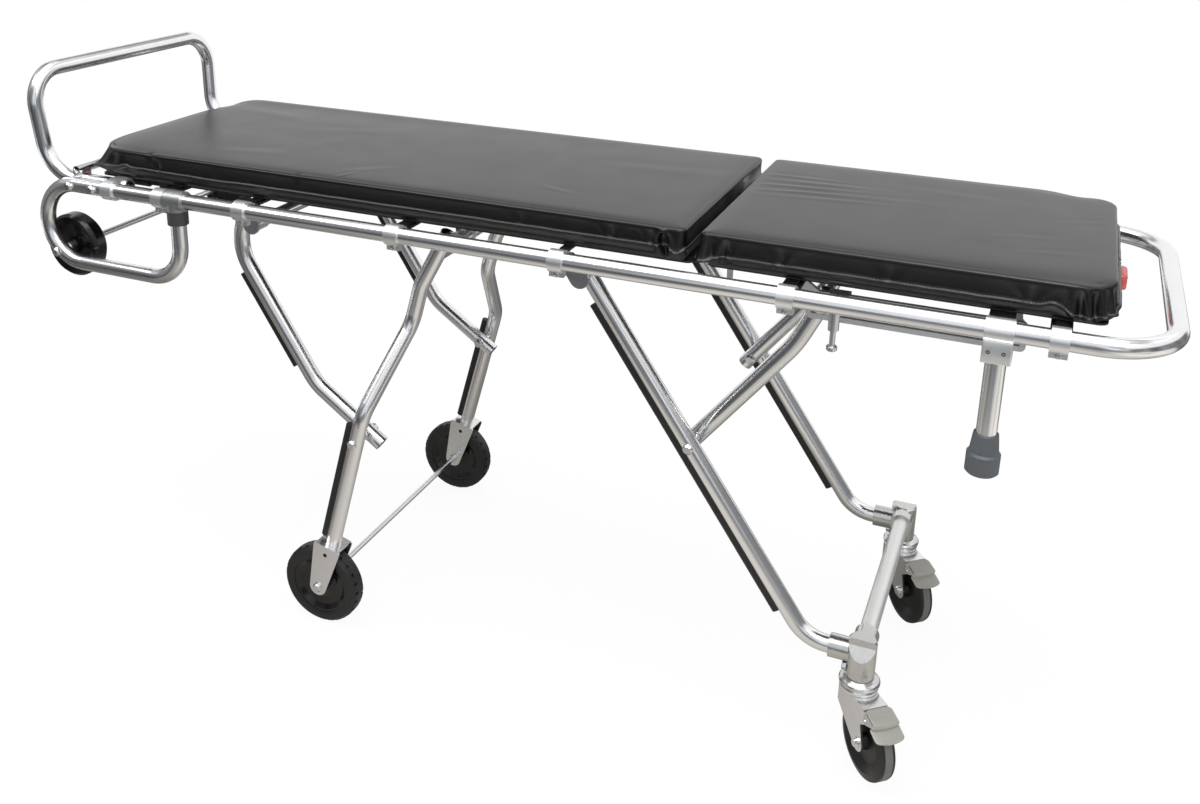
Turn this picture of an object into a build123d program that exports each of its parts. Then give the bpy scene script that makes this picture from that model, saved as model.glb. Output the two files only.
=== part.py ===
from build123d import *
from math import asin, atan2, cos, degrees, hypot, radians, sin, tan
import os

os.makedirs("parts", exist_ok=True)

# Folding mortuary cot, in millimetres. The origin is on the floor, midway along and across.
# The operator stands at +X, the loading wheels are at -X, and left is -Y.

# Main frame tubes
OVERALL_LENGTH = 1953.0
RAIL_GAUGE = 530.0
RAIL_HEIGHT = 778.0
TUBE_DIAMETER = 28.0
TUBE_WALL = 2.0
BOW_RADIUS = 100.0
BOW_RUN = 144.0
LOOP_INSET = 23.0
LOOP_LENGTH = 308.0
LOOP_DROP = 152.0
LOOP_RISER_RADIUS = 66.0
LOOP_RISER_GAP = 5.0

# Push handle at the loading end
HANDLE_RISE = 196.0
HANDLE_TOP_WIDTH = 500.0
HANDLE_TOP_RADIUS = 62.0
HANDLE_FOOT_RADIUS = 70.0
HANDLE_LEAN = 12.5
HANDLE_RUN = 200.5
HANDLE_BAR_SETBACK = 90.5
HANDLE_BAR_DIAMETER = 16.0
HANDLE_BAR_SADDLE = 22.0
HANDLE_BOLT_SETBACKS = (96.5, 149.5)

# Saddle clamps, posts and the fittings on the rails
CLAMP_LENGTH = 24.0
CLAMP_WALL = 4.0
CLAMP_PAD = 6.0
CLAMP_PAD_HEIGHT = 20.0
CLAMP_EAR_DROP = 25.0
CLAMP_EAR_WIDTH = 11.0
HANDLE_CLAMP_SETBACK = 184.0
TEE_CLAMP_OFFSET = 32.5
FRONT_CLAMP_X = -490.0
MIDDLE_CLAMP_X = -188.5
REAR_CLAMP_X = 100.5
BACK_CLAMP_X = 455.5
POST_OFFSET = 75.0
POST_CLAMP_LENGTH = 38.0
POST_SOCKET_DROP = 42.0
POST_DROP = 212.0
POST_FOOT_DIAMETER = 46.0
POST_FOOT_BAND = 30.0
POST_FOOT_LENGTH = 60.0
POST_FOOT_NECK = 34.0
POST_FOOT_SOLE = 14.0
POST_FOOT_CHAMFER = 3.0
TEE_LENGTH = 38.0
TEE_WALL = 4.5
TEE_SOCKET_DROP = 43.0

# Bed
PAD_WIDTH = 472.0
PAD_LIFT = 15.0
PAD_LOADING_SETBACK = 107.5
PAD_OPERATOR_SETBACK = 73.5
PAD_CORNER_RADIUS = 55.0
PAD_GAP_CORNER_RADIUS = 14.0
PAD_GAP_BOTTOM = 14.0
PAD_GAP_TOP = 36.0
PAD_TOP_SEAM = 48.0
PAD_LOWER_SEAM = 21.0
PAD_CROWN = 58.0
PAD_CROWN_SHOULDER = 26.0
PAD_CROWN_FULLNESS = 0.7
PAD_CROWN_INSET = 80.0
PAD_WAIST = 5.0
PAD_UNDERCUT = 8.0
PIPING = 2.0
PIPING_HALF = 1.5
HINGE_X = 312.5
HINGE_PIN_DIAMETER = 4.0
HINGE_BARREL_DIAMETER = 8.0
HINGE_WIDTH = 64.0
HINGE_MIDDLE_WIDTH = 24.0
HINGE_OFFSET_Y = 80.0
HINGE_LEAF = 2.0
HINGE_LEAF_LENGTH = 38.0
DECK_THICKNESS = 3.5
DECK_INSET = 14.0
DECK_GAP = 19.0
BRACKET_THICKNESS = 4.0
BRACKET_REACH = 30.0
BRACKET_DROP = 21.0
BRACKET_WIDTH = 16.0
POST_BRACKET_WIDTH = 34.0
BAR_WIDTH = 28.0
BAR_THICKNESS = 4.0

# Folding linkage, shared by the two leg sets
PIVOT_DROP = 33.0
PIVOT_BOLT_DIAMETER = 10.0
BOLT_HEAD_DIAMETER = 17.0
BOLT_HEAD_HEIGHT = 6.0
BOLT_DOME = 0.7
BOSS_DIAMETER = 26.0
SMALL_BOSS_DIAMETER = 20.0
LEG_BOSS_DIAMETER = 22.0
EYE_THICKNESS = 8.0
EYE_EDGE = 8.0
LEG_EYE_EDGE = 9.0
BRACKET_PLATE = 5.0
BRACKET_NOSE = 16.0
BRACKET_CORNER = 6.0
BRACKET_TOP_GAP = 8.0
FRONT_BRACKET_HALF = 10.0
REAR_BRACKET_REACH = (8.0, 14.0)
ROLLER_DIAMETER = 26.0
ROLLER_WIDTH = 12.0
ROLLER_CHAMFER = 1.0
ROLLER_SHAFT_DIAMETER = 14.0
CROSS_SHAFT_DIAMETER = 20.0
GUIDE_THICKNESS = 8.0
GUIDE_EDGE = 8.0
GUIDE_FOOT = 24.0
GUIDE_FOOT_THICKNESS = 3.0
STRIP_WIDTH = 13.0
STRIP_HEIGHT = 11.0
STRIP_SHOULDER = 4.0
STRIP_CHAMFER = 3.0

# Front legs, with the fixed wheels
FRONT_BOLT_X = -278.5
FRONT_BOLT_DROP = 362.0
FRONT_ROLLER_X = -126.0
FRONT_FOLD = 54.0
ARM_Y = 223.0
ARM_TOP_SETBACK = 25.5
ARM_TOP_RISE = 13.0
ARM_SHOULDER_SETBACK = 47.0
ARM_SHOULDER_DROP = 51.0
ARM_ELBOW_SETBACK = 106.0
ARM_ELBOW_RISE = 73.0
ARM_TAIL = 32.0
ARM_BEND_RADIUS = 90.0
ARM_EYE_TOP = (5.0, 14.0)
ARM_EYE_LOW = (-12.0, 44.0)
ARM_STRIP_MARGIN = 0.16
ARM_CROSS_TUBE_DIAMETER = 22.0
FRONT_LEG_Y = 264.0
FRONT_LEG_JOG = 116.0
FRONT_JOG_START_RISE = 53.0
FRONT_JOG_END = (51.0, 191.0)
FRONT_CRANK = (71.0, 97.0)
FRONT_TOP = (26.0, 6.0)
FRONT_LEG_BEND_RADIUS = 55.0
LEG_EYE_REACHES = (12.0, 56.0)
FRONT_STRIP_RISE = 27.0
FRONT_STRIP_GAP = 8.0
FRONT_WHEEL_DIAMETER = 154.0
FRONT_WHEEL_WIDTH = 34.0
FRONT_RIM_DIAMETER = 112.0
FRONT_AXLE_X = -361.0
FORK_HEIGHT = 92.0
FORK_NOSE_RADIUS = 17.0
FORK_TOP_LENGTH = 54.0
FORK_TOP_BAND = 12.0
FORK_CORNER = 3.0
FORK_HOLE_DIAMETER = 8.0
FORK_HOLE_DROP = 18.0
FORK_SHEET = 3.0
TYRE_LIP = (5.0, 2.0)
TYRE_SHOULDER = 6.0
TYRE_CROWN = (1.0, 5.0)
TYRE_FLAT = 10.0
HUB_BOSS = (12.0, 15.0)
HUB_DISH = ((30.0, 6.0), (44.0, 8.0))
HUB_WEB = 9.0
HUB_LIP = (4.0, 3.0)
TREAD_GROOVES = 26
TREAD_DEPTH = 2.5
TREAD_GROOVE_WIDTH = 5.0
TREAD_GROOVE_REACH = 11.0

# Casters, from the floor up
CASTER_DIAMETER = 122.0
CASTER_WIDTH = 30.0
CASTER_TREAD = 4.0
CASTER_TREAD_INSET = 3.0
CASTER_TREAD_CROWN = (1.0, 4.0)
CASTER_BOSS_RADIUS = 11.0
CASTER_DISH = ((14.0, 7.0), (34.0, 6.0))
CASTER_RIM = 9.0
CASTER_TRAIL = 41.0
CASTER_ANGLE = -50.0
CASTER_SHEET = 3.0
CASTER_AXLE_DIAMETER = 10.0
CASTER_NOSE_RADIUS = 14.0
CASTER_CROWN_OFFSET = 6.0
CASTER_CROWN_LENGTH = 60.0
CASTER_CROWN_BAND = 38.0
CASTER_PLATE = (-22.0, 52.0)
CASTER_WHEEL_GAP = 8.0
RACE_HEIGHT = 11.0
RACE_DIAMETER = 64.0
RACE_GAP = 0.5
RACE_LIP = 3.0
RACE_DOME = ((2.0, 5.5), (6.0, 8.0))
LOWER_RACE_DIAMETER = 60.0
LOWER_RACE_TAPER = (4.0, 2.0)
LOWER_RACE_LIP = 3.0
LOWER_RACE_NECK = 2.5
UPPER_RACE_HEIGHT = 9.0
STEM_DIAMETER = 14.0
STEM_RISE = 26.0
STEM_REACH = 90.43
STEM_Y = 218.0
CASTING_DIAMETER = 44.0
CASTING_LENGTH = 68.0
CASTING_CHAMFER = 3.0
TONGUE_FOOT = 36.0
TONGUE_HEAD = 12.0
TONGUE_SETBACK = 6.0
SOCKET_DIAMETER = 38.0
LEG_SOCKET_LENGTH = 52.0
LEG_SOCKET_RISE = 36.0
CROSS_SOCKET_LENGTH = 42.0
CROSS_SOCKET_RISE = 48.0
SOCKET_STOP = 17.0
PEDAL_PIVOT_X = 62.0
PEDAL_PIVOT_DROP = 12.0
PEDAL_SHEET = 2.5
PEDAL_LOWER_WIDTH = 50.0
PEDAL_STEPS = ((56.0, 1.0), (82.0, -5.0), (90.0, -19.0), (104.0, -25.0))
PEDAL_PIN_DIAMETER = 6.0
PEDAL_EYE_RADIUS = 6.5
PEDAL_CHEEK_RADIUS = 2.0
LUG_NOSE_RADIUS = 6.0
LUG_ROOT_RADIUS = 8.0
LUG_ROOTS = ((30.0, 8.0), (34.0, 30.0))

# Rear legs, with the casters
REAR_PIVOT_X = 128.0
REAR_LEG_ANGLE = 55.3
REAR_LINK = 320.0
REAR_FOLD = 44.0
REAR_LEG_Y = 210.0
REAR_LEG_TOP = 16.0
REAR_FOOT_RADIUS = 66.0
REAR_STRIP_GAP = 40.0
REAR_STRIP_RISE = 49.0
BRACE_Y = 168.0
BRACE_BEND_SETBACK = 37.84
BRACE_BEND_DROP = 79.0
BRACE_TAIL = 20.0
BRACE_TOP = 16.0
BRACE_BEND_RADIUS = 200.0

# Loading wheels
LOADING_WHEEL_DIAMETER = 122.0
LOADING_WHEEL_WIDTH = 32.0
LOADING_WHEEL_Y = 226.0
LOADING_AXLE_DIAMETER = 12.0
LOADING_AXLE_ANGLE = 229.0
LOADING_COLLAR_DIAMETER = 20.0
LOADING_BOSS = (15.0, 18.0)
LOADING_DISH = (6.0, 5.0)
LOADING_DISH_INSET = 21.0
LOADING_RIM_STEPS = ((16.0, 2.0), (5.0, 0.0), (0.0, 6.0))

# Locking stud and releases
STUD_X = 520.0
STUD_Y = -235.0
STUD_DROP = 83.0
STUD_HEAD_DIAMETER = 16.0
STUD_HEAD_HEIGHT = 8.0
STUD_HEAD_CHAMFER = 1.5
STUD_NECK_DIAMETER = 8.6
STUD_NECK_LENGTH = 24.0
STUD_PLATE_LENGTH = 28.0
RELEASE_ROD_DIAMETER = 8.0
RELEASE_ROD_DROP = 4.0
RELEASE_SETBACK = 62.5
RELEASE_GRIP_LENGTH = 96.0
RELEASE_GRIP_THICKNESS = 15.0
RELEASE_GRIP_HEIGHT = 26.0
LOADING_RELEASE_Y = -196.0
LOADING_RELEASE_SETBACK = 180.5
LOADING_RELEASE_LIFT = 4.0
LOADING_GRIP_LENGTH = 64.0
LOADING_GRIP_DIAMETER = 15.0
LOADING_GUIDE_SETBACK = 250.5
LOADING_ROD_END = 6.0
GUIDE_BLOCK = 18.0

# Clearances
RUNNING_FIT = 0.05
SIDE_PLAY = 1.0
ROLLER_PLAY = 0.8
DECK_PLAY = 0.5
TUBE_PLAY = 0.5
WHEEL_PLAY = 2.5
CUT_OVER = 5.0
GRIP_ROUND_GAP = 0.5

# Worked out from the sizes above
TUBE_RADIUS = TUBE_DIAMETER / 2
RAIL_Y = RAIL_GAUGE / 2
END_BAR_X = OVERALL_LENGTH / 2 - TUBE_RADIUS
BOW_JOINT_X = END_BAR_X - BOW_RUN
HANDLE_TOP_X = -OVERALL_LENGTH / 2 + TUBE_RADIUS
HANDLE_FOOT_X = HANDLE_TOP_X + HANDLE_LEAN
HANDLE_END_X = HANDLE_TOP_X + HANDLE_RUN
HANDLE_BAR_X = HANDLE_TOP_X + HANDLE_BAR_SETBACK
HANDLE_BOLT_XS = [HANDLE_TOP_X + setback for setback in HANDLE_BOLT_SETBACKS]
HANDLE_HEIGHT = RAIL_HEIGHT + HANDLE_RISE
HANDLE_Y = RAIL_Y - TUBE_DIAMETER - TUBE_PLAY
HANDLE_BAR_HEIGHT = RAIL_HEIGHT + TUBE_RADIUS + HANDLE_BAR_DIAMETER / 2 + TUBE_PLAY
LOOP_END_X = HANDLE_TOP_X + LOOP_INSET
LOOP_RISER_X = LOOP_END_X + LOOP_LENGTH
LOOP_RISER_TOP = RAIL_HEIGHT - TUBE_RADIUS - LOOP_RISER_GAP
LOOP_RADIUS = LOOP_DROP / 2
LOOP_CENTRE_X = LOOP_END_X + LOOP_RADIUS
LOOP_CENTRE_HEIGHT = RAIL_HEIGHT - LOOP_RADIUS
LOOP_BOTTOM = RAIL_HEIGHT - LOOP_DROP
CLAMP_RADIUS = TUBE_RADIUS + CLAMP_WALL
CLAMP_FACE_Y = RAIL_Y - TUBE_RADIUS - CLAMP_PAD
HANDLE_CLAMP_X = HANDLE_TOP_X + HANDLE_CLAMP_SETBACK
TEE_CLAMP_X = LOOP_RISER_X - TEE_CLAMP_OFFSET
POST_X = BOW_JOINT_X - POST_OFFSET
POST_FOOT_BOTTOM = RAIL_HEIGHT - POST_DROP
PAD_BOTTOM = RAIL_HEIGHT + PAD_LIFT
PAD_LOADING_END_X = HANDLE_TOP_X + PAD_LOADING_SETBACK
PAD_OPERATOR_END_X = END_BAR_X - PAD_OPERATOR_SETBACK
DECK_BOTTOM = PAD_BOTTOM - DECK_THICKNESS
BACKREST_BOTTOM = DECK_BOTTOM + DECK_PLAY
BAR_TOP = DECK_BOTTOM - BRACKET_THICKNESS
BAR_BOTTOM = BAR_TOP - BAR_THICKNESS
HINGE_HEIGHT = DECK_BOTTOM - HINGE_LEAF / 2
PIVOT_HEIGHT = RAIL_HEIGHT - PIVOT_DROP
PIVOT_PLATE_Y = CLAMP_FACE_Y - BRACKET_PLATE
FRONT_WHEEL_RADIUS = FRONT_WHEEL_DIAMETER / 2
FRONT_BOLT_HEIGHT = PIVOT_HEIGHT - FRONT_BOLT_DROP
ARM_TOP_X = FRONT_CLAMP_X - ARM_TOP_SETBACK
ARM_TOP_HEIGHT = PIVOT_HEIGHT + ARM_TOP_RISE
ARM_SHOULDER_X = FRONT_CLAMP_X - ARM_SHOULDER_SETBACK
ARM_SHOULDER_HEIGHT = PIVOT_HEIGHT - ARM_SHOULDER_DROP
ARM_ELBOW_X = FRONT_BOLT_X - ARM_ELBOW_SETBACK
ARM_ELBOW_HEIGHT = FRONT_BOLT_HEIGHT + ARM_ELBOW_RISE
FRONT_JOG_START_HEIGHT = FRONT_BOLT_HEIGHT + FRONT_JOG_START_RISE
FRONT_JOG_END_X = FRONT_BOLT_X + FRONT_JOG_END[0]
FRONT_JOG_END_HEIGHT = FRONT_BOLT_HEIGHT + FRONT_JOG_END[1]
FRONT_CRANK_X = FRONT_BOLT_X + FRONT_CRANK[0]
FRONT_CRANK_HEIGHT = PIVOT_HEIGHT - FRONT_CRANK[1]
FRONT_TOP_X = FRONT_ROLLER_X - FRONT_TOP[0]
FRONT_TOP_HEIGHT = PIVOT_HEIGHT + FRONT_TOP[1]
FRONT_STRIP_TOP = FRONT_BOLT_HEIGHT + FRONT_STRIP_RISE
FRONT_TOP_Y = FRONT_LEG_Y - FRONT_LEG_JOG
FRONT_GUIDE_Y = FRONT_TOP_Y - TUBE_RADIUS - 2 * SIDE_PLAY - ROLLER_WIDTH / 2
LEG_SLOPE = (FRONT_BOLT_X - FRONT_AXLE_X) / (FRONT_BOLT_HEIGHT - FRONT_WHEEL_RADIUS)
LEG_TILT = degrees(atan2(LEG_SLOPE, 1))
FORK_CHEEK = FRONT_WHEEL_WIDTH / 2 + WHEEL_PLAY
CASTER_RADIUS = CASTER_DIAMETER / 2
CASTER_CHEEK = CASTER_WIDTH / 2 + WHEEL_PLAY
FORK_PLATE_TOP = CASTER_DIAMETER + CASTER_WHEEL_GAP
PEDAL_PIVOT_HEIGHT = FORK_PLATE_TOP - PEDAL_PIVOT_DROP
PEDAL_LINE = [(x, FORK_PLATE_TOP + rise) for x, rise in PEDAL_STEPS]
RACE_BOTTOM = FORK_PLATE_TOP + RACE_HEIGHT
CASTING_BOTTOM = RACE_BOTTOM + UPPER_RACE_HEIGHT
CASTING_TOP = CASTING_BOTTOM + CASTING_LENGTH
STEM_TOP = CASTING_BOTTOM + STEM_RISE
REAR_FOOT_HEIGHT = CASTING_BOTTOM + LEG_SOCKET_RISE
CROSS_TUBE_HEIGHT = CASTING_BOTTOM + CROSS_SOCKET_RISE
REAR_DIRECTION = (cos(radians(REAR_LEG_ANGLE)), -sin(radians(REAR_LEG_ANGLE)))
BRACE_BOLT_X = REAR_PIVOT_X + REAR_LINK * REAR_DIRECTION[0]
BRACE_BOLT_HEIGHT = PIVOT_HEIGHT + REAR_LINK * REAR_DIRECTION[1]
REAR_ROLLER_X = REAR_PIVOT_X + 2 * REAR_LINK * REAR_DIRECTION[0]
REAR_CORNER_X = REAR_PIVOT_X + (PIVOT_HEIGHT - REAR_FOOT_HEIGHT) / tan(radians(REAR_LEG_ANGLE))
REAR_GUIDE_Y = BRACE_Y + TUBE_RADIUS + 2 * SIDE_PLAY + ROLLER_WIDTH / 2
REAR_STRIP_TOP = PIVOT_HEIGHT - REAR_STRIP_GAP
REAR_STRIP_BOTTOM = REAR_FOOT_HEIGHT + REAR_STRIP_RISE
BRACE_BEND_X = REAR_ROLLER_X - BRACE_BEND_SETBACK
BRACE_BEND_HEIGHT = PIVOT_HEIGHT - BRACE_BEND_DROP
STEM_X = REAR_CORNER_X + STEM_REACH
GUIDE_HALF = ROLLER_DIAMETER / 2 + ROLLER_PLAY
LOADING_AXLE_X = LOOP_CENTRE_X + LOOP_RADIUS * cos(radians(LOADING_AXLE_ANGLE))
LOADING_AXLE_HEIGHT = LOOP_CENTRE_HEIGHT + LOOP_RADIUS * sin(radians(LOADING_AXLE_ANGLE))
STUD_BOTTOM = RAIL_HEIGHT - STUD_DROP
RELEASE_ROD_HEIGHT = RAIL_HEIGHT - RELEASE_ROD_DROP
RELEASE_GRIP_X = END_BAR_X - RELEASE_SETBACK
LOADING_RELEASE_X = HANDLE_TOP_X + LOADING_RELEASE_SETBACK
LOADING_ROD_HEIGHT = RELEASE_ROD_HEIGHT + LOADING_RELEASE_LIFT
LOADING_GUIDE_X = HANDLE_TOP_X + LOADING_GUIDE_SETBACK

CLAMP_XS = (TEE_CLAMP_X, FRONT_CLAMP_X, MIDDLE_CLAMP_X, REAR_CLAMP_X, BACK_CLAMP_X, BOW_JOINT_X)
PIVOT_CLAMP_XS = (FRONT_CLAMP_X, REAR_CLAMP_X)
BAR_XS = (TEE_CLAMP_X, FRONT_CLAMP_X, MIDDLE_CLAMP_X, BACK_CLAMP_X, POST_X, BOW_JOINT_X)


def save(name, *pieces):
    """Writes one named piece, or a group of alike ones."""
    solids = [solid for piece in pieces for solid in piece.solids()]
    export_step(solids[0] if len(solids) == 1 else Compound(solids), f"parts/{name}.step")


def other_side(piece):
    """The same piece on the other side of the cot."""
    return mirror(piece, about=Plane.XZ)


def both_sides(piece):
    """A piece and its twin on the other side."""
    return [piece, other_side(piece)]


def save_sides(name, left):
    """Writes a left piece and its right twin as two named pieces."""
    save(f"left_{name}", left)
    save(f"right_{name}", other_side(left))


def rod(start, end, diameter):
    """A round bar between two points."""
    axis = Vector(*end) - Vector(*start)
    return extrude(Plane(origin=start, z_dir=axis) * Circle(diameter / 2), axis.length)


def across(x, height, diameter, near_y, far_y):
    """A round bar across the cot."""
    return rod((x, near_y, height), (x, far_y, height), diameter)


def along(start_x, end_x, y, height, diameter):
    """A round bar along the cot."""
    return rod((start_x, y, height), (end_x, y, height), diameter)


def upright(x, y, bottom, top, diameter):
    """A round bar that stands up."""
    return rod((x, y, bottom), (x, y, top), diameter)


def block(x_range, y_range, z_range):
    """A box between two limits each way."""
    sizes = [high - low for low, high in (x_range, y_range, z_range)]
    middle = [(high + low) / 2 for low, high in (x_range, y_range, z_range)]
    return Pos(*middle) * Box(*sizes)


def bent_line(points, radii):
    """Straight runs through the points, with a tangent arc at each inner one."""
    corners = [Vector(*point) for point in points]
    edges = []
    start = corners[0]
    for index, radius in enumerate(radii, start=1):
        corner = corners[index]
        back = (corners[index - 1] - corner).normalized()
        ahead = (corners[index + 1] - corner).normalized()
        half = radians(back.get_angle(ahead) / 2)
        first = corner + back * (radius / tan(half))
        last = corner + ahead * (radius / tan(half))
        middle = corner + (back + ahead).normalized() * (radius / sin(half) - radius)
        if (first - start).length > 0.001:
            edges.append(Edge.make_line(start, first))
        edges.append(Edge.make_three_point_arc(first, middle, last))
        start = last
    edges.append(Edge.make_line(start, corners[-1]))
    return Wire(edges)


def bent_bar(points, radii, diameter):
    """A round bar bent along straight runs and tangent arcs."""
    line = bent_line(points, radii)
    end = Plane(origin=line @ 0, z_dir=line % 0)
    return sweep(end * Circle(diameter / 2), path=line)


def bent_tube(points, radii):
    """A frame tube bent along straight runs and tangent arcs, open at both ends."""
    outside = bent_bar(points, radii, TUBE_DIAMETER)
    return outside - bent_bar(points, radii, TUBE_DIAMETER - 2 * TUBE_WALL)


def straight_tube(start, end, diameter):
    """A straight tube, open at both ends."""
    return rod(start, end, diameter) - rod(start, end, diameter - 2 * TUBE_WALL)


def side_plate(outline, near_y, far_y):
    """A sketch drawn in X and height, made solid between two distances across the cot."""
    facing = Plane(origin=(0, far_y, 0), x_dir=(1, 0, 0), z_dir=(0, -1, 0))
    return extrude(facing * outline, far_y - near_y)


def rounded_link(ends):
    """The outline around round ends, each an (x, height, radius)."""
    edges = ShapeList()
    for x, height, radius in ends:
        edges += (Pos(x, height) * Circle(radius)).edges()
    return make_hull(edges)


def turned(points):
    """A round piece about a line across the cot, from (radius, distance) points."""
    return revolve(Polygon(*points, align=None), axis=Axis.Y)


def turned_upright(points):
    """A round piece about an upright line, from (radius, height) points."""
    return revolve(Plane.XZ * Polygon(*points, align=None), axis=Axis.Z)


def bolt_head(x, height, face_y, out):
    """A domed bolt head on a face; out is -1 or +1, the way it looks."""
    half = BOLT_HEAD_DIAMETER / 2
    edge = BOLT_HEAD_HEIGHT / 2
    top = out * BOLT_HEAD_HEIGHT
    dome = [(0, 0), (half, 0), (half, out * edge), (half * BOLT_DOME, top), (0, top)]
    return Pos(x, face_y, height) * turned(dome)


def rubber_strip(bottom, top, y):
    """A strip that saddles the underside of a leg tube, between two (x, height) places."""
    start = Vector(bottom[0], y, bottom[1])
    run = Vector(top[0], y, top[1]) - start
    half = STRIP_WIDTH / 2
    crest = TUBE_RADIUS + STRIP_HEIGHT
    shoulder = crest - STRIP_SHOULDER
    flat = half - STRIP_CHAMFER
    right = ((half, 0), (half, shoulder), (flat, crest))
    outline = Polygon((-half, 0), *right, (-flat, crest), (-half, shoulder), align=None)
    facing = Plane(origin=start, x_dir=(0, 1, 0), z_dir=run)
    return extrude(facing * (outline - Circle(TUBE_RADIUS)), run.length)


def front_roller_place(share):
    """X and height of the front roller, at a share of the fold."""
    reach_x = FRONT_BOLT_X - FRONT_CLAMP_X
    reach_height = FRONT_BOLT_HEIGHT - PIVOT_HEIGHT
    arm = hypot(reach_x, reach_height)
    arm_angle = atan2(reach_height, reach_x)
    shank_x = FRONT_ROLLER_X - FRONT_BOLT_X
    shank_height = PIVOT_HEIGHT - FRONT_BOLT_HEIGHT
    shank = hypot(shank_x, shank_height)
    shank_angle = atan2(shank_height, shank_x)
    folded_angle = asin(-arm * sin(arm_angle + radians(FRONT_FOLD)) / shank)
    arm_now = arm_angle + radians(FRONT_FOLD) * share
    shank_now = shank_angle + (folded_angle - shank_angle) * share
    x = FRONT_CLAMP_X + arm * cos(arm_now) + shank * cos(shank_now)
    return x, PIVOT_HEIGHT + arm * sin(arm_now) + shank * sin(shank_now)


def rear_roller_place(share):
    """X and height of the rear roller, at a share of the fold."""
    angle = radians(REAR_LEG_ANGLE - REAR_FOLD * share)
    return REAR_PIVOT_X + 2 * REAR_LINK * cos(angle), PIVOT_HEIGHT


def guide_slot(places):
    """The outline of the slot that the roller runs along."""
    over = ROLLER_DIAMETER / 2 + ROLLER_PLAY
    first = (places[0][0] - over, places[0][1])
    last = (places[-1][0] + over, places[-1][1])
    line = [first, *places, last]
    above = [(x, height + GUIDE_HALF) for x, height in line]
    below = [(x, height - GUIDE_HALF) for x, height in reversed(line)]
    return Polygon(*above, *below, align=None)


def bracket_hook(x, top, foot_bottom, y):
    """A hanger foot that reaches inward at the top of a guide plate."""
    half = GUIDE_FOOT / 2
    return block((x - half, x + half), (y, y + GUIDE_FOOT), (foot_bottom, top))


# Rails, with their loops at the loading end
rail_points = (
    (BOW_JOINT_X, -RAIL_Y, RAIL_HEIGHT),
    (LOOP_END_X, -RAIL_Y, RAIL_HEIGHT),
    (LOOP_END_X, -RAIL_Y, LOOP_BOTTOM),
    (LOOP_RISER_X, -RAIL_Y, LOOP_BOTTOM),
    (LOOP_RISER_X, -RAIL_Y, LOOP_RISER_TOP),
)
left_rail = bent_tube(rail_points, (LOOP_RADIUS, LOOP_RADIUS, LOOP_RISER_RADIUS))
rail_outer = -RAIL_Y - TUBE_RADIUS - CUT_OVER
rail_inner = -RAIL_Y + TUBE_RADIUS + CUT_OVER
left_rail -= across(LOADING_AXLE_X, LOADING_AXLE_HEIGHT, LOADING_AXLE_DIAMETER, rail_outer, rail_inner)
for bolt_x in HANDLE_BOLT_XS:
    left_rail -= across(bolt_x, RAIL_HEIGHT, PIVOT_BOLT_DIAMETER, rail_outer, rail_inner)
save_sides("side_rail", left_rail)

bow_points = (
    (BOW_JOINT_X, -RAIL_Y, RAIL_HEIGHT),
    (END_BAR_X, -RAIL_Y, RAIL_HEIGHT),
    (END_BAR_X, RAIL_Y, RAIL_HEIGHT),
    (BOW_JOINT_X, RAIL_Y, RAIL_HEIGHT),
)
save("end_bow", bent_tube(bow_points, (BOW_RADIUS, BOW_RADIUS)))

# Push handle and its low cross bar
handle_points = (
    (HANDLE_END_X, -HANDLE_Y, RAIL_HEIGHT),
    (HANDLE_FOOT_X, -HANDLE_Y, RAIL_HEIGHT),
    (HANDLE_TOP_X, -HANDLE_TOP_WIDTH / 2, HANDLE_HEIGHT),
    (HANDLE_TOP_X, HANDLE_TOP_WIDTH / 2, HANDLE_HEIGHT),
    (HANDLE_FOOT_X, HANDLE_Y, RAIL_HEIGHT),
    (HANDLE_END_X, HANDLE_Y, RAIL_HEIGHT),
)
handle_radii = (HANDLE_FOOT_RADIUS, HANDLE_TOP_RADIUS, HANDLE_TOP_RADIUS, HANDLE_FOOT_RADIUS)
handle = bent_tube(handle_points, handle_radii)
for bolt_x in HANDLE_BOLT_XS:
    handle -= across(bolt_x, RAIL_HEIGHT, PIVOT_BOLT_DIAMETER, -RAIL_Y, RAIL_Y)

bar_end = HANDLE_Y + TUBE_RADIUS
handle_bar = straight_tube(
    (HANDLE_BAR_X, -bar_end, HANDLE_BAR_HEIGHT),
    (HANDLE_BAR_X, bar_end, HANDLE_BAR_HEIGHT),
    HANDLE_BAR_DIAMETER,
)
saddle_half = HANDLE_BAR_SADDLE / 2
saddle_start = HANDLE_BAR_X - saddle_half
saddle_end = HANDLE_BAR_X + saddle_half
saddle = block(
    (saddle_start, saddle_end),
    (-HANDLE_Y - saddle_half, -HANDLE_Y + saddle_half),
    (RAIL_HEIGHT + TUBE_RADIUS / 2, HANDLE_BAR_HEIGHT),
)
saddle -= along(saddle_start - CUT_OVER, saddle_end + CUT_OVER, -HANDLE_Y, RAIL_HEIGHT, TUBE_DIAMETER)
save("push_handle", handle + handle_bar + both_sides(saddle))

# Tees where the loop risers meet the rails
tee_half = TEE_LENGTH / 2
tee_diameter = TUBE_DIAMETER + 2 * TEE_WALL
tee = along(LOOP_RISER_X - tee_half, LOOP_RISER_X + tee_half, -RAIL_Y, RAIL_HEIGHT, tee_diameter)
tee += upright(LOOP_RISER_X, -RAIL_Y, RAIL_HEIGHT - TEE_SOCKET_DROP, RAIL_HEIGHT, tee_diameter)
tee -= along(LOOP_RISER_X - TEE_LENGTH, LOOP_RISER_X + TEE_LENGTH, -RAIL_Y, RAIL_HEIGHT, TUBE_DIAMETER)
tee -= upright(LOOP_RISER_X, -RAIL_Y, LOOP_BOTTOM, LOOP_RISER_TOP, TUBE_DIAMETER)
save("tee_fittings", *both_sides(tee))

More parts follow.
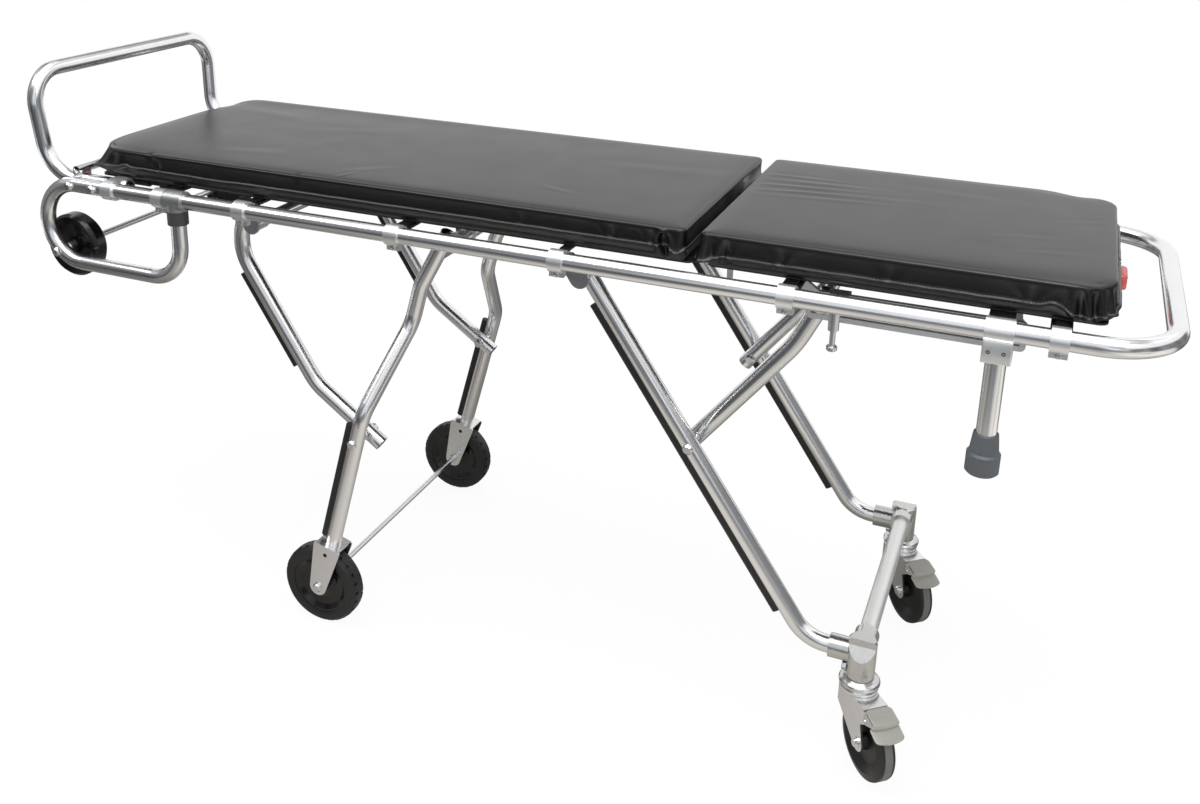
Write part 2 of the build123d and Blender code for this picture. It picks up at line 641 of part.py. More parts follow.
# Saddle clamps on the rails
across_rail = Plane(origin=(0, -RAIL_Y, RAIL_HEIGHT), x_dir=(0, 1, 0), z_dir=(1, 0, 0))


def rail_profile():
    """The section of a saddle clamp: ring, flat inner pad and lower ear."""
    pad_width = TUBE_RADIUS + CLAMP_PAD
    ring = Circle(CLAMP_RADIUS) + Pos(pad_width / 2, 0) * Rectangle(pad_width, CLAMP_PAD_HEIGHT)
    ring += Pos(0, -CLAMP_EAR_DROP / 2) * Rectangle(CLAMP_EAR_WIDTH, CLAMP_EAR_DROP)
    return ring


def saddle_clamp(x, length):
    """A saddle clamp on the left rail."""
    solid = extrude(Pos(x - length / 2, 0, 0) * (across_rail * rail_profile()), length)
    return solid - along(x - length, x + length, -RAIL_Y, RAIL_HEIGHT, TUBE_DIAMETER)


clamps = []
for clamp_x in CLAMP_XS:
    clamps += both_sides(saddle_clamp(clamp_x, CLAMP_LENGTH))

shift = RAIL_Y - HANDLE_Y
twin_outline = make_hull(Circle(CLAMP_RADIUS).edges() + (Pos(shift, 0) * Circle(CLAMP_RADIUS)).edges())
twin = extrude(Pos(HANDLE_CLAMP_X - CLAMP_LENGTH / 2, 0, 0) * (across_rail * twin_outline), CLAMP_LENGTH)
twin_start = HANDLE_CLAMP_X - CLAMP_LENGTH
twin_end = HANDLE_CLAMP_X + CLAMP_LENGTH
for tube_y in (-RAIL_Y, -HANDLE_Y):
    twin -= along(twin_start, twin_end, tube_y, RAIL_HEIGHT, TUBE_DIAMETER)
clamps += both_sides(twin)

# Hanging posts
post_top = RAIL_HEIGHT - CLAMP_RADIUS - 2 * SIDE_PLAY
post_clamp = saddle_clamp(POST_X, POST_CLAMP_LENGTH)
socket_bottom = RAIL_HEIGHT - POST_SOCKET_DROP
post_clamp += upright(POST_X, -RAIL_Y, socket_bottom, RAIL_HEIGHT - TUBE_RADIUS, 2 * CLAMP_RADIUS)
cut_start = POST_X - POST_CLAMP_LENGTH
cut_end = POST_X + POST_CLAMP_LENGTH
post_clamp -= along(cut_start, cut_end, -RAIL_Y, RAIL_HEIGHT, TUBE_DIAMETER)
post_clamp -= upright(POST_X, -RAIL_Y, POST_FOOT_BOTTOM, post_top, TUBE_DIAMETER)
clamps += both_sides(post_clamp)
save("rail_clamps", *clamps)

post_bottom = POST_FOOT_BOTTOM + POST_FOOT_SOLE
post = straight_tube((POST_X, -RAIL_Y, post_bottom), (POST_X, -RAIL_Y, post_top), TUBE_DIAMETER)
save("posts", *both_sides(post))

foot_top = POST_FOOT_BOTTOM + POST_FOOT_LENGTH
band_top = POST_FOOT_BOTTOM + POST_FOOT_BAND
foot_radius = POST_FOOT_DIAMETER / 2
foot_profile = (
    (0, POST_FOOT_BOTTOM),
    (foot_radius - POST_FOOT_CHAMFER, POST_FOOT_BOTTOM),
    (foot_radius, POST_FOOT_BOTTOM + POST_FOOT_CHAMFER),
    (foot_radius, band_top),
    (foot_radius - POST_FOOT_CHAMFER, band_top + POST_FOOT_CHAMFER),
    (POST_FOOT_NECK / 2, foot_top),
    (TUBE_RADIUS, foot_top),
    (TUBE_RADIUS, post_bottom),
    (0, post_bottom),
)
foot = Pos(POST_X, -RAIL_Y, 0) * turned_upright(foot_profile)
save("post_feet", *both_sides(foot))

# Bed: brackets, bars and decks


def deck_bracket(x, width, face_y):
    """An angle bracket from a clamp's pad to the underside of the deck."""
    half = width / 2
    leg_face = face_y - BRACKET_THICKNESS
    upright_leg = block((x - half, x + half), (-face_y, -leg_face), (DECK_BOTTOM - BRACKET_DROP, DECK_BOTTOM))
    flat_leg = block((x - half, x + half), (-face_y, BRACKET_REACH - face_y), (BAR_TOP, DECK_BOTTOM))
    return upright_leg + flat_leg


brackets = []
for clamp_x in (*CLAMP_XS, POST_X):
    bracket_width = POST_BRACKET_WIDTH if clamp_x == POST_X else BRACKET_WIDTH
    bracket_face = PIVOT_PLATE_Y if clamp_x in PIVOT_CLAMP_XS else CLAMP_FACE_Y
    brackets += both_sides(deck_bracket(clamp_x, bracket_width, bracket_face))

bar_half = PIVOT_PLATE_Y - BRACKET_THICKNESS - SIDE_PLAY
bars = []
for bar_x in BAR_XS:
    bar_ends = (bar_x - BAR_WIDTH / 2, bar_x + BAR_WIDTH / 2)
    bars.append(block(bar_ends, (-bar_half, bar_half), (BAR_BOTTOM, BAR_TOP)))
save("cross_bars", *bars)

deck_width = PAD_WIDTH - 2 * DECK_INSET


def deck_plate(start_x, end_x, bottom):
    """A flat deck with rounded corners under a pad."""
    outline = RectangleRounded(end_x - start_x, deck_width, PAD_GAP_CORNER_RADIUS)
    return extrude(Pos((start_x + end_x) / 2, 0, bottom) * outline, PAD_BOTTOM - bottom)


main_deck = deck_plate(PAD_LOADING_END_X + DECK_INSET, HINGE_X - DECK_GAP / 2, DECK_BOTTOM)
save("main_deck", main_deck)
save("backrest_deck", deck_plate(HINGE_X + DECK_GAP / 2, PAD_OPERATOR_END_X - DECK_INSET, BACKREST_BOTTOM))

# Pads: drawn in at the waist, piped along both seams, crowned on top
pad_half = PAD_WIDTH / 2 - PIPING
pad_levels = (
    (0, PAD_UNDERCUT + 2 * PIPING_HALF),
    (2 * PIPING_HALF, PAD_UNDERCUT),
    (PAD_LOWER_SEAM - 2 * PIPING_HALF, PIPING / 2),
    (PAD_LOWER_SEAM - PIPING_HALF, -PIPING),
    (PAD_LOWER_SEAM + PIPING_HALF, -PIPING),
    (PAD_LOWER_SEAM + 2 * PIPING_HALF, PIPING / 2),
    ((PAD_LOWER_SEAM + PAD_TOP_SEAM) / 2, PAD_WAIST),
    (PAD_TOP_SEAM - 2 * PIPING_HALF, PIPING / 2),
    (PAD_TOP_SEAM - PIPING_HALF, -PIPING),
    (PAD_TOP_SEAM + PIPING_HALF, -PIPING),
    (PAD_TOP_SEAM + 2 * PIPING_HALF, PIPING),
    (PAD_TOP_SEAM + (PAD_CROWN - PAD_TOP_SEAM) * PAD_CROWN_FULLNESS, PAD_CROWN_SHOULDER),
    (PAD_CROWN, PAD_CROWN_INSET),
)


def pad_outline(start_x, end_x, half, start_radius, end_radius, height):
    """A rounded outline of a pad at one height."""
    middle = (start_x + end_x) / 2
    points = (
        (middle, -half, height),
        (end_x, -half, height),
        (end_x, half, height),
        (start_x, half, height),
        (start_x, -half, height),
        (middle, -half, height),
    )
    return Face(bent_line(points, (end_radius, end_radius, start_radius, start_radius)))


def gap_half(rise):
    """Half of the gap between the pads, at a height above their underside."""
    widening = (PAD_GAP_TOP - PAD_GAP_BOTTOM) * min(1, rise / PAD_TOP_SEAM)
    return (PAD_GAP_BOTTOM + widening) / 2 + PIPING


def pad(start_radius, end_radius, start_of, end_of):
    """A pad lofted through its outlines; start_of and end_of give its ends at a height."""
    outlines = []
    for rise, inset in pad_levels:
        starts = max(start_radius - inset, PAD_GAP_CORNER_RADIUS / 2)
        ends = max(end_radius - inset, PAD_GAP_CORNER_RADIUS / 2)
        ends_x = (start_of(rise) + inset, end_of(rise) - inset)
        outlines.append(pad_outline(*ends_x, pad_half - inset, starts, ends, PAD_BOTTOM + rise))
    return loft(outlines, ruled=True)


main_pad = pad(
    PAD_CORNER_RADIUS,
    PAD_GAP_CORNER_RADIUS,
    lambda rise: PAD_LOADING_END_X + PIPING,
    lambda rise: HINGE_X - gap_half(rise),
)
save("main_pad", main_pad)
backrest_pad = pad(
    PAD_GAP_CORNER_RADIUS,
    PAD_CORNER_RADIUS,
    lambda rise: HINGE_X + gap_half(rise),
    lambda rise: PAD_OPERATOR_END_X - PIPING,
)
save("backrest_pad", backrest_pad)

# Backrest hinges
hinge_half = HINGE_WIDTH / 2
middle_half = HINGE_MIDDLE_WIDTH / 2
barrel_radius = HINGE_BARREL_DIAMETER / 2
deck_edge = HINGE_X - DECK_GAP / 2


def barrel(near_y, far_y):
    """A length of hinge barrel."""
    return across(HINGE_X, HINGE_HEIGHT, HINGE_BARREL_DIAMETER, near_y, far_y)


leaf_end = HINGE_X - barrel_radius - SIDE_PLAY
fixed_range = (DECK_BOTTOM - HINGE_LEAF, DECK_BOTTOM)
fixed_leaf = block((HINGE_X - HINGE_LEAF_LENGTH, leaf_end), (-hinge_half, hinge_half), fixed_range)
for near_y, far_y in ((-hinge_half, -middle_half - SIDE_PLAY), (middle_half + SIDE_PLAY, hinge_half)):
    fixed_leaf += block((leaf_end - HINGE_LEAF, HINGE_X), (near_y, far_y), fixed_range)
    fixed_leaf += barrel(near_y, far_y)
fixed_leaf += across(HINGE_X, HINGE_HEIGHT, HINGE_PIN_DIAMETER, -hinge_half, hinge_half)
save("hinge_fixed_leaves", Pos(0, -HINGE_OFFSET_Y, 0) * fixed_leaf, Pos(0, HINGE_OFFSET_Y, 0) * fixed_leaf)

leaf_start = HINGE_X + barrel_radius + SIDE_PLAY
leaf_range = (BACKREST_BOTTOM - HINGE_LEAF, BACKREST_BOTTOM)
moving_leaf = block((leaf_start, HINGE_X + HINGE_LEAF_LENGTH), (-hinge_half, hinge_half), leaf_range)
moving_leaf += block((HINGE_X, leaf_start + HINGE_LEAF), (-middle_half, middle_half), leaf_range)
moving_leaf += barrel(-middle_half, middle_half)
moving_leaf -= across(HINGE_X, HINGE_HEIGHT, HINGE_PIN_DIAMETER + 2 * RUNNING_FIT, -hinge_half, hinge_half)
save("hinge_moving_leaves", Pos(0, -HINGE_OFFSET_Y, 0) * moving_leaf, Pos(0, HINGE_OFFSET_Y, 0) * moving_leaf)

# Slotted guide plates for the rollers
shares = [step / 8 for step in range(9)]
front_places = [front_roller_place(share) for share in shares]
rear_places = [rear_roller_place(0), rear_roller_place(1)]
guide_over = ROLLER_DIAMETER / 2 + ROLLER_PLAY + GUIDE_EDGE
front_rise = max(height for x, height in front_places)
front_start = front_places[0][0] - guide_over
front_end = front_places[-1][0] + guide_over
guide_bottom = PIVOT_HEIGHT - GUIDE_HALF - GUIDE_EDGE
front_guide_top = front_rise + GUIDE_HALF + GUIDE_EDGE
hanger_half = GUIDE_FOOT / 2
first_hanger = front_start + GUIDE_FOOT + CUT_OVER
last_hanger = deck_edge - 2 * HINGE_LEAF_LENGTH
front_hanger_xs = (first_hanger, (front_start + deck_edge) / 2, last_hanger)

front_sheet = Pos((front_start + front_end) / 2, (guide_bottom + front_guide_top) / 2) * RectangleRounded(
    front_end - front_start, front_guide_top - guide_bottom, GUIDE_EDGE
)
for hanger_x in front_hanger_xs:
    front_sheet += Pos(hanger_x, (PIVOT_HEIGHT + GUIDE_HALF + DECK_BOTTOM) / 2) * Rectangle(
        GUIDE_FOOT, DECK_BOTTOM - PIVOT_HEIGHT - GUIDE_HALF
    )
front_sheet -= guide_slot(front_places)
front_near = -FRONT_GUIDE_Y - GUIDE_THICKNESS / 2
front_guide = side_plate(front_sheet, front_near, front_near + GUIDE_THICKNESS)
for hanger_x in front_hanger_xs:
    front_guide += bracket_hook(hanger_x, DECK_BOTTOM, DECK_BOTTOM - GUIDE_FOOT_THICKNESS, front_near)
save("front_guide_plates", *both_sides(front_guide))

rear_start = rear_places[0][0] - guide_over
rear_end = rear_places[-1][0] + guide_over
rear_guide_top = PIVOT_HEIGHT + GUIDE_HALF + GUIDE_EDGE
rear_sheet = Pos((rear_start + rear_end) / 2, PIVOT_HEIGHT) * RectangleRounded(
    rear_end - rear_start, 2 * (GUIDE_HALF + GUIDE_EDGE), GUIDE_EDGE
)
rear_sheet += Polygon(
    (rear_start + GUIDE_EDGE / 4, PIVOT_HEIGHT),
    (rear_start + GUIDE_FOOT, rear_guide_top - GUIDE_EDGE / 2),
    (BACK_CLAMP_X + hanger_half, BAR_BOTTOM),
    (BACK_CLAMP_X - hanger_half, BAR_BOTTOM),
    align=None,
)
rear_sheet += Pos(POST_X, (PIVOT_HEIGHT + GUIDE_HALF + BAR_BOTTOM) / 2) * Rectangle(
    GUIDE_FOOT, BAR_BOTTOM - PIVOT_HEIGHT - GUIDE_HALF
)
rear_sheet -= guide_slot(rear_places)
rear_near = -REAR_GUIDE_Y - GUIDE_THICKNESS / 2
rear_guide = side_plate(rear_sheet, rear_near, rear_near + GUIDE_THICKNESS)
for hanger_x in (BACK_CLAMP_X, POST_X):
    rear_guide += bracket_hook(hanger_x, BAR_BOTTOM, BAR_BOTTOM - GUIDE_FOOT_THICKNESS, rear_near)
save("rear_guide_plates", *both_sides(rear_guide))

# Fixed pivots of the two leg sets
plate_top = RAIL_HEIGHT + CLAMP_PAD_HEIGHT / 2 - BRACKET_TOP_GAP


def pivot_plate(pivot_x, first_x, last_x):
    """A plate from a clamp's pad down to a pivot."""
    outline = rounded_link(
        (
            (pivot_x, PIVOT_HEIGHT, BRACKET_NOSE),
            (first_x, plate_top, BRACKET_CORNER),
            (last_x, plate_top, BRACKET_CORNER),
        )
    )
    return side_plate(outline, -CLAMP_FACE_Y, -PIVOT_PLATE_Y)


front_ends = (FRONT_CLAMP_X - FRONT_BRACKET_HALF, FRONT_CLAMP_X + FRONT_BRACKET_HALF)
rear_ends = (REAR_CLAMP_X - REAR_BRACKET_REACH[0], REAR_CLAMP_X + REAR_BRACKET_REACH[1])
front_plate = pivot_plate(FRONT_CLAMP_X, *front_ends)
rear_plate = pivot_plate(REAR_PIVOT_X, *rear_ends)
front_pin_end = ARM_Y - TUBE_RADIUS + 2 * SIDE_PLAY
rear_pin_end = REAR_LEG_Y - TUBE_RADIUS - SIDE_PLAY
front_plate -= across(FRONT_CLAMP_X, PIVOT_HEIGHT, PIVOT_BOLT_DIAMETER, -RAIL_Y, -ARM_Y)
rear_plate -= across(REAR_PIVOT_X, PIVOT_HEIGHT, PIVOT_BOLT_DIAMETER, -RAIL_Y, -ARM_Y)
save("pivot_brackets", *both_sides(front_plate), *both_sides(rear_plate))

front_pin = across(FRONT_CLAMP_X, PIVOT_HEIGHT, PIVOT_BOLT_DIAMETER, -CLAMP_FACE_Y, -front_pin_end)
rear_pin = across(REAR_PIVOT_X, PIVOT_HEIGHT, PIVOT_BOLT_DIAMETER, -CLAMP_FACE_Y, -rear_pin_end)
rear_pin += bolt_head(REAR_PIVOT_X, PIVOT_HEIGHT, -rear_pin_end, 1)

# Swing arms of the front legs
arm_points = (
    (ARM_TOP_X, -ARM_Y, ARM_TOP_HEIGHT),
    (ARM_SHOULDER_X, -ARM_Y, ARM_SHOULDER_HEIGHT),
    (ARM_ELBOW_X, -ARM_Y, ARM_ELBOW_HEIGHT),
)
lower_run = Vector(FRONT_BOLT_X - ARM_ELBOW_X, 0, FRONT_BOLT_HEIGHT - ARM_ELBOW_HEIGHT).normalized()
arm_tail = Vector(FRONT_BOLT_X, -ARM_Y, FRONT_BOLT_HEIGHT) + lower_run * ARM_TAIL
arm = bent_tube((*arm_points, tuple(arm_tail)), (ARM_BEND_RADIUS, ARM_BEND_RADIUS))
arm_near = -ARM_Y - TUBE_RADIUS
arm_far = -ARM_Y + TUBE_RADIUS
eye_outline = rounded_link(
    (
        (FRONT_CLAMP_X, PIVOT_HEIGHT, BOSS_DIAMETER / 2),
        (ARM_TOP_X + ARM_EYE_TOP[0], ARM_TOP_HEIGHT - ARM_EYE_TOP[1], EYE_EDGE),
        (ARM_SHOULDER_X - ARM_EYE_LOW[0], ARM_SHOULDER_HEIGHT + ARM_EYE_LOW[1], EYE_EDGE),
    )
)
arm += side_plate(eye_outline, -ARM_Y - EYE_THICKNESS / 2, -ARM_Y + EYE_THICKNESS / 2)
arm += across(FRONT_CLAMP_X, PIVOT_HEIGHT, BOSS_DIAMETER, arm_near, arm_far)
arm += across(FRONT_BOLT_X, FRONT_BOLT_HEIGHT, SMALL_BOSS_DIAMETER, arm_near, arm_far)
running_bore = PIVOT_BOLT_DIAMETER + 2 * RUNNING_FIT
for pin_x, pin_height in ((FRONT_CLAMP_X, PIVOT_HEIGHT), (FRONT_BOLT_X, FRONT_BOLT_HEIGHT)):
    arm -= across(pin_x, pin_height, running_bore, arm_near - CUT_OVER, arm_far + CUT_OVER)
save_sides("swing_arm", arm)
arm_cross_tube = straight_tube(
    (FRONT_CLAMP_X, arm_far, PIVOT_HEIGHT),
    (FRONT_CLAMP_X, -arm_far, PIVOT_HEIGHT),
    ARM_CROSS_TUBE_DIAMETER,
)
save("swing_arm_cross_tube", arm_cross_tube)
upper_run = Vector(ARM_SHOULDER_X - ARM_ELBOW_X, 0, ARM_SHOULDER_HEIGHT - ARM_ELBOW_HEIGHT)
strip_ends = []
for share in (ARM_STRIP_MARGIN, 1 - ARM_STRIP_MARGIN):
    strip_ends.append((ARM_ELBOW_X + upper_run.X * share, ARM_ELBOW_HEIGHT + upper_run.Z * share))
save("swing_arm_strips", *both_sides(rubber_strip(*strip_ends, -ARM_Y)))


# Front legs
def leg_x(height):
    """X of the straight lower run of a front leg."""
    return FRONT_BOLT_X + (height - FRONT_BOLT_HEIGHT) * LEG_SLOPE


tilt_sin = sin(radians(LEG_TILT))
tilt_cos = cos(radians(LEG_TILT))
fork_top_x = FRONT_AXLE_X + FORK_HEIGHT * tilt_sin
fork_top_height = FRONT_WHEEL_RADIUS + FORK_HEIGHT * tilt_cos
leg_points = (
    (fork_top_x, -FRONT_LEG_Y, fork_top_height),
    (leg_x(FRONT_JOG_START_HEIGHT), -FRONT_LEG_Y, FRONT_JOG_START_HEIGHT),
    (FRONT_JOG_END_X, -FRONT_TOP_Y, FRONT_JOG_END_HEIGHT),
    (FRONT_CRANK_X, -FRONT_TOP_Y, FRONT_CRANK_HEIGHT),
    (FRONT_TOP_X, -FRONT_TOP_Y, FRONT_TOP_HEIGHT),
)
front_leg = bent_tube(leg_points, (FRONT_LEG_BEND_RADIUS,) * 3)
crank_run = Vector(FRONT_TOP_X - FRONT_CRANK_X, 0, FRONT_TOP_HEIGHT - FRONT_CRANK_HEIGHT).normalized()
leg_eye = rounded_link(
    (
        (FRONT_ROLLER_X, PIVOT_HEIGHT, BOSS_DIAMETER / 2),
        *[
            (FRONT_TOP_X - crank_run.X * reach, FRONT_TOP_HEIGHT - crank_run.Z * reach, LEG_EYE_EDGE)
            for reach in LEG_EYE_REACHES
        ],
    )
)
front_leg += side_plate(leg_eye, -FRONT_TOP_Y - EYE_THICKNESS / 2, -FRONT_TOP_Y + EYE_THICKNESS / 2)
leg_near = -FRONT_TOP_Y - TUBE_RADIUS
leg_far = -FRONT_TOP_Y + TUBE_RADIUS
front_leg += across(FRONT_ROLLER_X, PIVOT_HEIGHT, BOSS_DIAMETER, leg_near, leg_far)
leg_cut = (leg_near - CUT_OVER, leg_far + CUT_OVER)
front_leg -= across(FRONT_ROLLER_X, PIVOT_HEIGHT, ROLLER_SHAFT_DIAMETER, *leg_cut)
front_leg -= across(FRONT_BOLT_X, FRONT_BOLT_HEIGHT, PIVOT_BOLT_DIAMETER, -RAIL_Y - TUBE_DIAMETER, -ARM_Y)
save_sides("front_leg", front_leg)

shaft_end = FRONT_TOP_Y + TUBE_RADIUS
shaft_shoulder = FRONT_GUIDE_Y - ROLLER_WIDTH / 2 - SIDE_PLAY
shaft_radius = ROLLER_SHAFT_DIAMETER / 2


def stepped_shaft(shoulder, end):
    """A cross shaft, thicker between its two shoulders."""
    thick = CROSS_SHAFT_DIAMETER / 2
    return turned(
        ((0, -end), (shaft_radius, -end), (shaft_radius, -shoulder), (thick, -shoulder))
        + ((thick, shoulder), (shaft_radius, shoulder), (shaft_radius, end), (0, end))
    )


save("front_roller_shaft", Pos(FRONT_ROLLER_X, 0, PIVOT_HEIGHT) * stepped_shaft(shaft_shoulder, shaft_end))


def roller(x, y):
    """A roller with chamfered rims, on its shaft."""
    outer = ROLLER_DIAMETER / 2
    inner = shaft_radius + RUNNING_FIT
    half = ROLLER_WIDTH / 2
    face = outer - ROLLER_CHAMFER
    edge = half - ROLLER_CHAMFER
    section = ((inner, -half), (face, -half), (outer, -edge), (outer, edge), (face, half), (inner, half))
    return Pos(x, y, PIVOT_HEIGHT) * turned(section)


save("front_rollers", *both_sides(roller(FRONT_ROLLER_X, -FRONT_GUIDE_Y)))

# Forks of the front wheels, drawn upright and then tilted with the legs
fork_band = RectangleRounded(FORK_TOP_LENGTH, FORK_TOP_BAND, FORK_CORNER)
fork_band = Pos(0, FORK_HEIGHT - FORK_TOP_BAND / 2) * fork_band
cheek_outline = make_hull(Circle(FORK_NOSE_RADIUS).edges() + fork_band.edges())
cheek_outline -= Pos(0, FORK_HEIGHT - FORK_HOLE_DROP) * Circle(FORK_HOLE_DIAMETER / 2)
cheek_outline -= Circle(PIVOT_BOLT_DIAMETER / 2)
fork = Part()
for near_y in (-FORK_CHEEK - FORK_SHEET, FORK_CHEEK):
    fork += side_plate(cheek_outline, near_y, near_y + FORK_SHEET)
fork += block(
    (FORK_CORNER - FORK_TOP_LENGTH / 2, FORK_TOP_LENGTH / 2 - FORK_CORNER),
    (-FORK_CHEEK - FORK_SHEET, FORK_CHEEK + FORK_SHEET),
    (FORK_HEIGHT - FORK_SHEET, FORK_HEIGHT),
)
fork = Pos(FRONT_AXLE_X, -FRONT_LEG_Y, FRONT_WHEEL_RADIUS) * Rot(0, LEG_TILT, 0) * fork
save("front_forks", *both_sides(fork))

# The axle rod that ties the two forks
cheek_outer = FRONT_LEG_Y + FORK_CHEEK + FORK_SHEET
cheek_inner = FRONT_LEG_Y - FORK_CHEEK - FORK_SHEET
axle_rod = across(FRONT_AXLE_X, FRONT_WHEEL_RADIUS, PIVOT_BOLT_DIAMETER, -cheek_outer, cheek_outer)
axle_rod += both_sides(bolt_head(FRONT_AXLE_X, FRONT_WHEEL_RADIUS, -cheek_outer, -1))
nut_inner = cheek_inner - BOLT_HEAD_HEIGHT
axle_rod += both_sides(across(FRONT_AXLE_X, FRONT_WHEEL_RADIUS, BOLT_HEAD_DIAMETER, -cheek_inner, -nut_inner))
save("front_axle_rod", axle_rod)

# Pivot bolts with spacers, carried by the front legs
leg_outer = FRONT_LEG_Y + TUBE_RADIUS
leg_inner = FRONT_LEG_Y - TUBE_RADIUS
arm_outer = ARM_Y + TUBE_RADIUS
arm_inner = ARM_Y - TUBE_RADIUS
bolt_end = -arm_inner + SIDE_PLAY
spacer_end = -arm_outer - SIDE_PLAY
pivot_bolt = across(FRONT_BOLT_X, FRONT_BOLT_HEIGHT, PIVOT_BOLT_DIAMETER, -leg_outer, bolt_end)
pivot_bolt += bolt_head(FRONT_BOLT_X, FRONT_BOLT_HEIGHT, -leg_outer, -1)
pivot_bolt += bolt_head(FRONT_BOLT_X, FRONT_BOLT_HEIGHT, bolt_end, 1)
pivot_bolt += across(FRONT_BOLT_X, FRONT_BOLT_HEIGHT, BOLT_HEAD_DIAMETER, -leg_inner, spacer_end)
save("front_leg_bolts", *both_sides(pivot_bolt))
strip_heights = (fork_top_height + FRONT_STRIP_GAP, FRONT_STRIP_TOP)
strip_ends = [(leg_x(height), height) for height in strip_heights]
save("front_leg_strips", *both_sides(rubber_strip(*strip_ends, -FRONT_LEG_Y)))

# Front wheels: treaded tyre on a dished hub
wheel_half = FRONT_WHEEL_WIDTH / 2
rim_radius = FRONT_RIM_DIAMETER / 2
tyre_side = (
    (rim_radius, wheel_half - TYRE_LIP[1]),
    (rim_radius + TYRE_LIP[0], wheel_half),
    (FRONT_WHEEL_RADIUS - TYRE_SHOULDER, wheel_half),
    (FRONT_WHEEL_RADIUS - TYRE_CROWN[0], wheel_half - TYRE_CROWN[1]),
    (FRONT_WHEEL_RADIUS, wheel_half - TYRE_FLAT),
)


def both_faces(side):
    """A round section that is alike on both faces, from its (radius, distance) points on one."""
    other_face = [(radius, -distance) for radius, distance in side]
    return turned((*other_face, *reversed(side)))


tyre = both_faces(tyre_side)
groove = block(
    (-TREAD_GROOVE_WIDTH / 2, TREAD_GROOVE_WIDTH / 2),
    (wheel_half - TREAD_GROOVE_REACH, wheel_half + CUT_OVER),
    (FRONT_WHEEL_RADIUS - TREAD_DEPTH, FRONT_WHEEL_RADIUS + TREAD_DEPTH),
)
step_angle = 360 / TREAD_GROOVES
grooves = []
for index in range(TREAD_GROOVES):
    grooves.append(Rot(0, index * step_angle, 0) * groove)
    grooves.append(Rot(0, (index + 0.5) * step_angle, 0) * other_side(groove))
tyre -= grooves
hub_bore = PIVOT_BOLT_DIAMETER / 2 + RUNNING_FIT
hub_half = FORK_CHEEK - SIDE_PLAY
hub_side = (
    (hub_bore, hub_half),
    (HUB_BOSS[0], hub_half),
    (HUB_BOSS[1], HUB_WEB),
    *HUB_DISH,
    (rim_radius - HUB_LIP[0], wheel_half - HUB_LIP[1]),
    (rim_radius, wheel_half - HUB_LIP[1]),
)
hub = both_faces(hub_side)
front_wheel_place = Pos(FRONT_AXLE_X, -FRONT_LEG_Y, FRONT_WHEEL_RADIUS)
save_sides("front_tyre", front_wheel_place * tyre)
save_sides("front_hub", front_wheel_place * hub)

# Rear legs
rear_leg_points = (
    (
        REAR_PIVOT_X - REAR_LEG_TOP * REAR_DIRECTION[0],
        -REAR_LEG_Y,
        PIVOT_HEIGHT - REAR_LEG_TOP * REAR_DIRECTION[1],
    ),
    (REAR_CORNER_X, -REAR_LEG_Y, REAR_FOOT_HEIGHT),
    (STEM_X - SOCKET_STOP, -REAR_LEG_Y, REAR_FOOT_HEIGHT),
)
rear_leg = bent_tube(rear_leg_points, (REAR_FOOT_RADIUS,))
rear_boss_near = -PIVOT_PLATE_Y + SIDE_PLAY
rear_leg_far = -REAR_LEG_Y + TUBE_RADIUS
rear_leg += across(REAR_PIVOT_X, PIVOT_HEIGHT, LEG_BOSS_DIAMETER, rear_boss_near, rear_leg_far)
rear_leg -= across(REAR_PIVOT_X, PIVOT_HEIGHT, running_bore, -RAIL_Y, rear_leg_far + CUT_OVER)
rear_leg -= across(BRACE_BOLT_X, BRACE_BOLT_HEIGHT, PIVOT_BOLT_DIAMETER, -RAIL_Y, rear_leg_far + CUT_OVER)
save_sides("rear_leg", rear_leg)


def rear_leg_place(height):
    """X and height of a place on the straight run of a rear leg."""
    return REAR_PIVOT_X + (PIVOT_HEIGHT - height) / tan(radians(REAR_LEG_ANGLE)), height


rear_strip = rubber_strip(rear_leg_place(REAR_STRIP_BOTTOM), rear_leg_place(REAR_STRIP_TOP), -REAR_LEG_Y)
save("rear_leg_strips", *both_sides(rear_strip))

# Braces from the rear legs to the rear rollers
brace_low = Vector(BRACE_BEND_X - BRACE_BOLT_X, 0, BRACE_BEND_HEIGHT - BRACE_BOLT_HEIGHT).normalized()
brace_high = Vector(REAR_ROLLER_X - BRACE_BEND_X, 0, PIVOT_HEIGHT - BRACE_BEND_HEIGHT).normalized()
brace_points = (
    tuple(Vector(BRACE_BOLT_X, -BRACE_Y, BRACE_BOLT_HEIGHT) - brace_low * BRACE_TAIL),
    (BRACE_BEND_X, -BRACE_Y, BRACE_BEND_HEIGHT),
    tuple(Vector(REAR_ROLLER_X, -BRACE_Y, PIVOT_HEIGHT) + brace_high * BRACE_TOP),
)
brace = bent_tube(brace_points, (BRACE_BEND_RADIUS,))
brace_near = -BRACE_Y - TUBE_RADIUS
brace_far = -BRACE_Y + TUBE_RADIUS
brace += across(BRACE_BOLT_X, BRACE_BOLT_HEIGHT, SMALL_BOSS_DIAMETER, brace_near, brace_far)
brace_cut = (brace_near - CUT_OVER, brace_far + CUT_OVER)
brace -= across(BRACE_BOLT_X, BRACE_BOLT_HEIGHT, running_bore, *brace_cut)
brace -= across(REAR_ROLLER_X, PIVOT_HEIGHT, ROLLER_SHAFT_DIAMETER, *brace_cut)
save_sides("brace", brace)

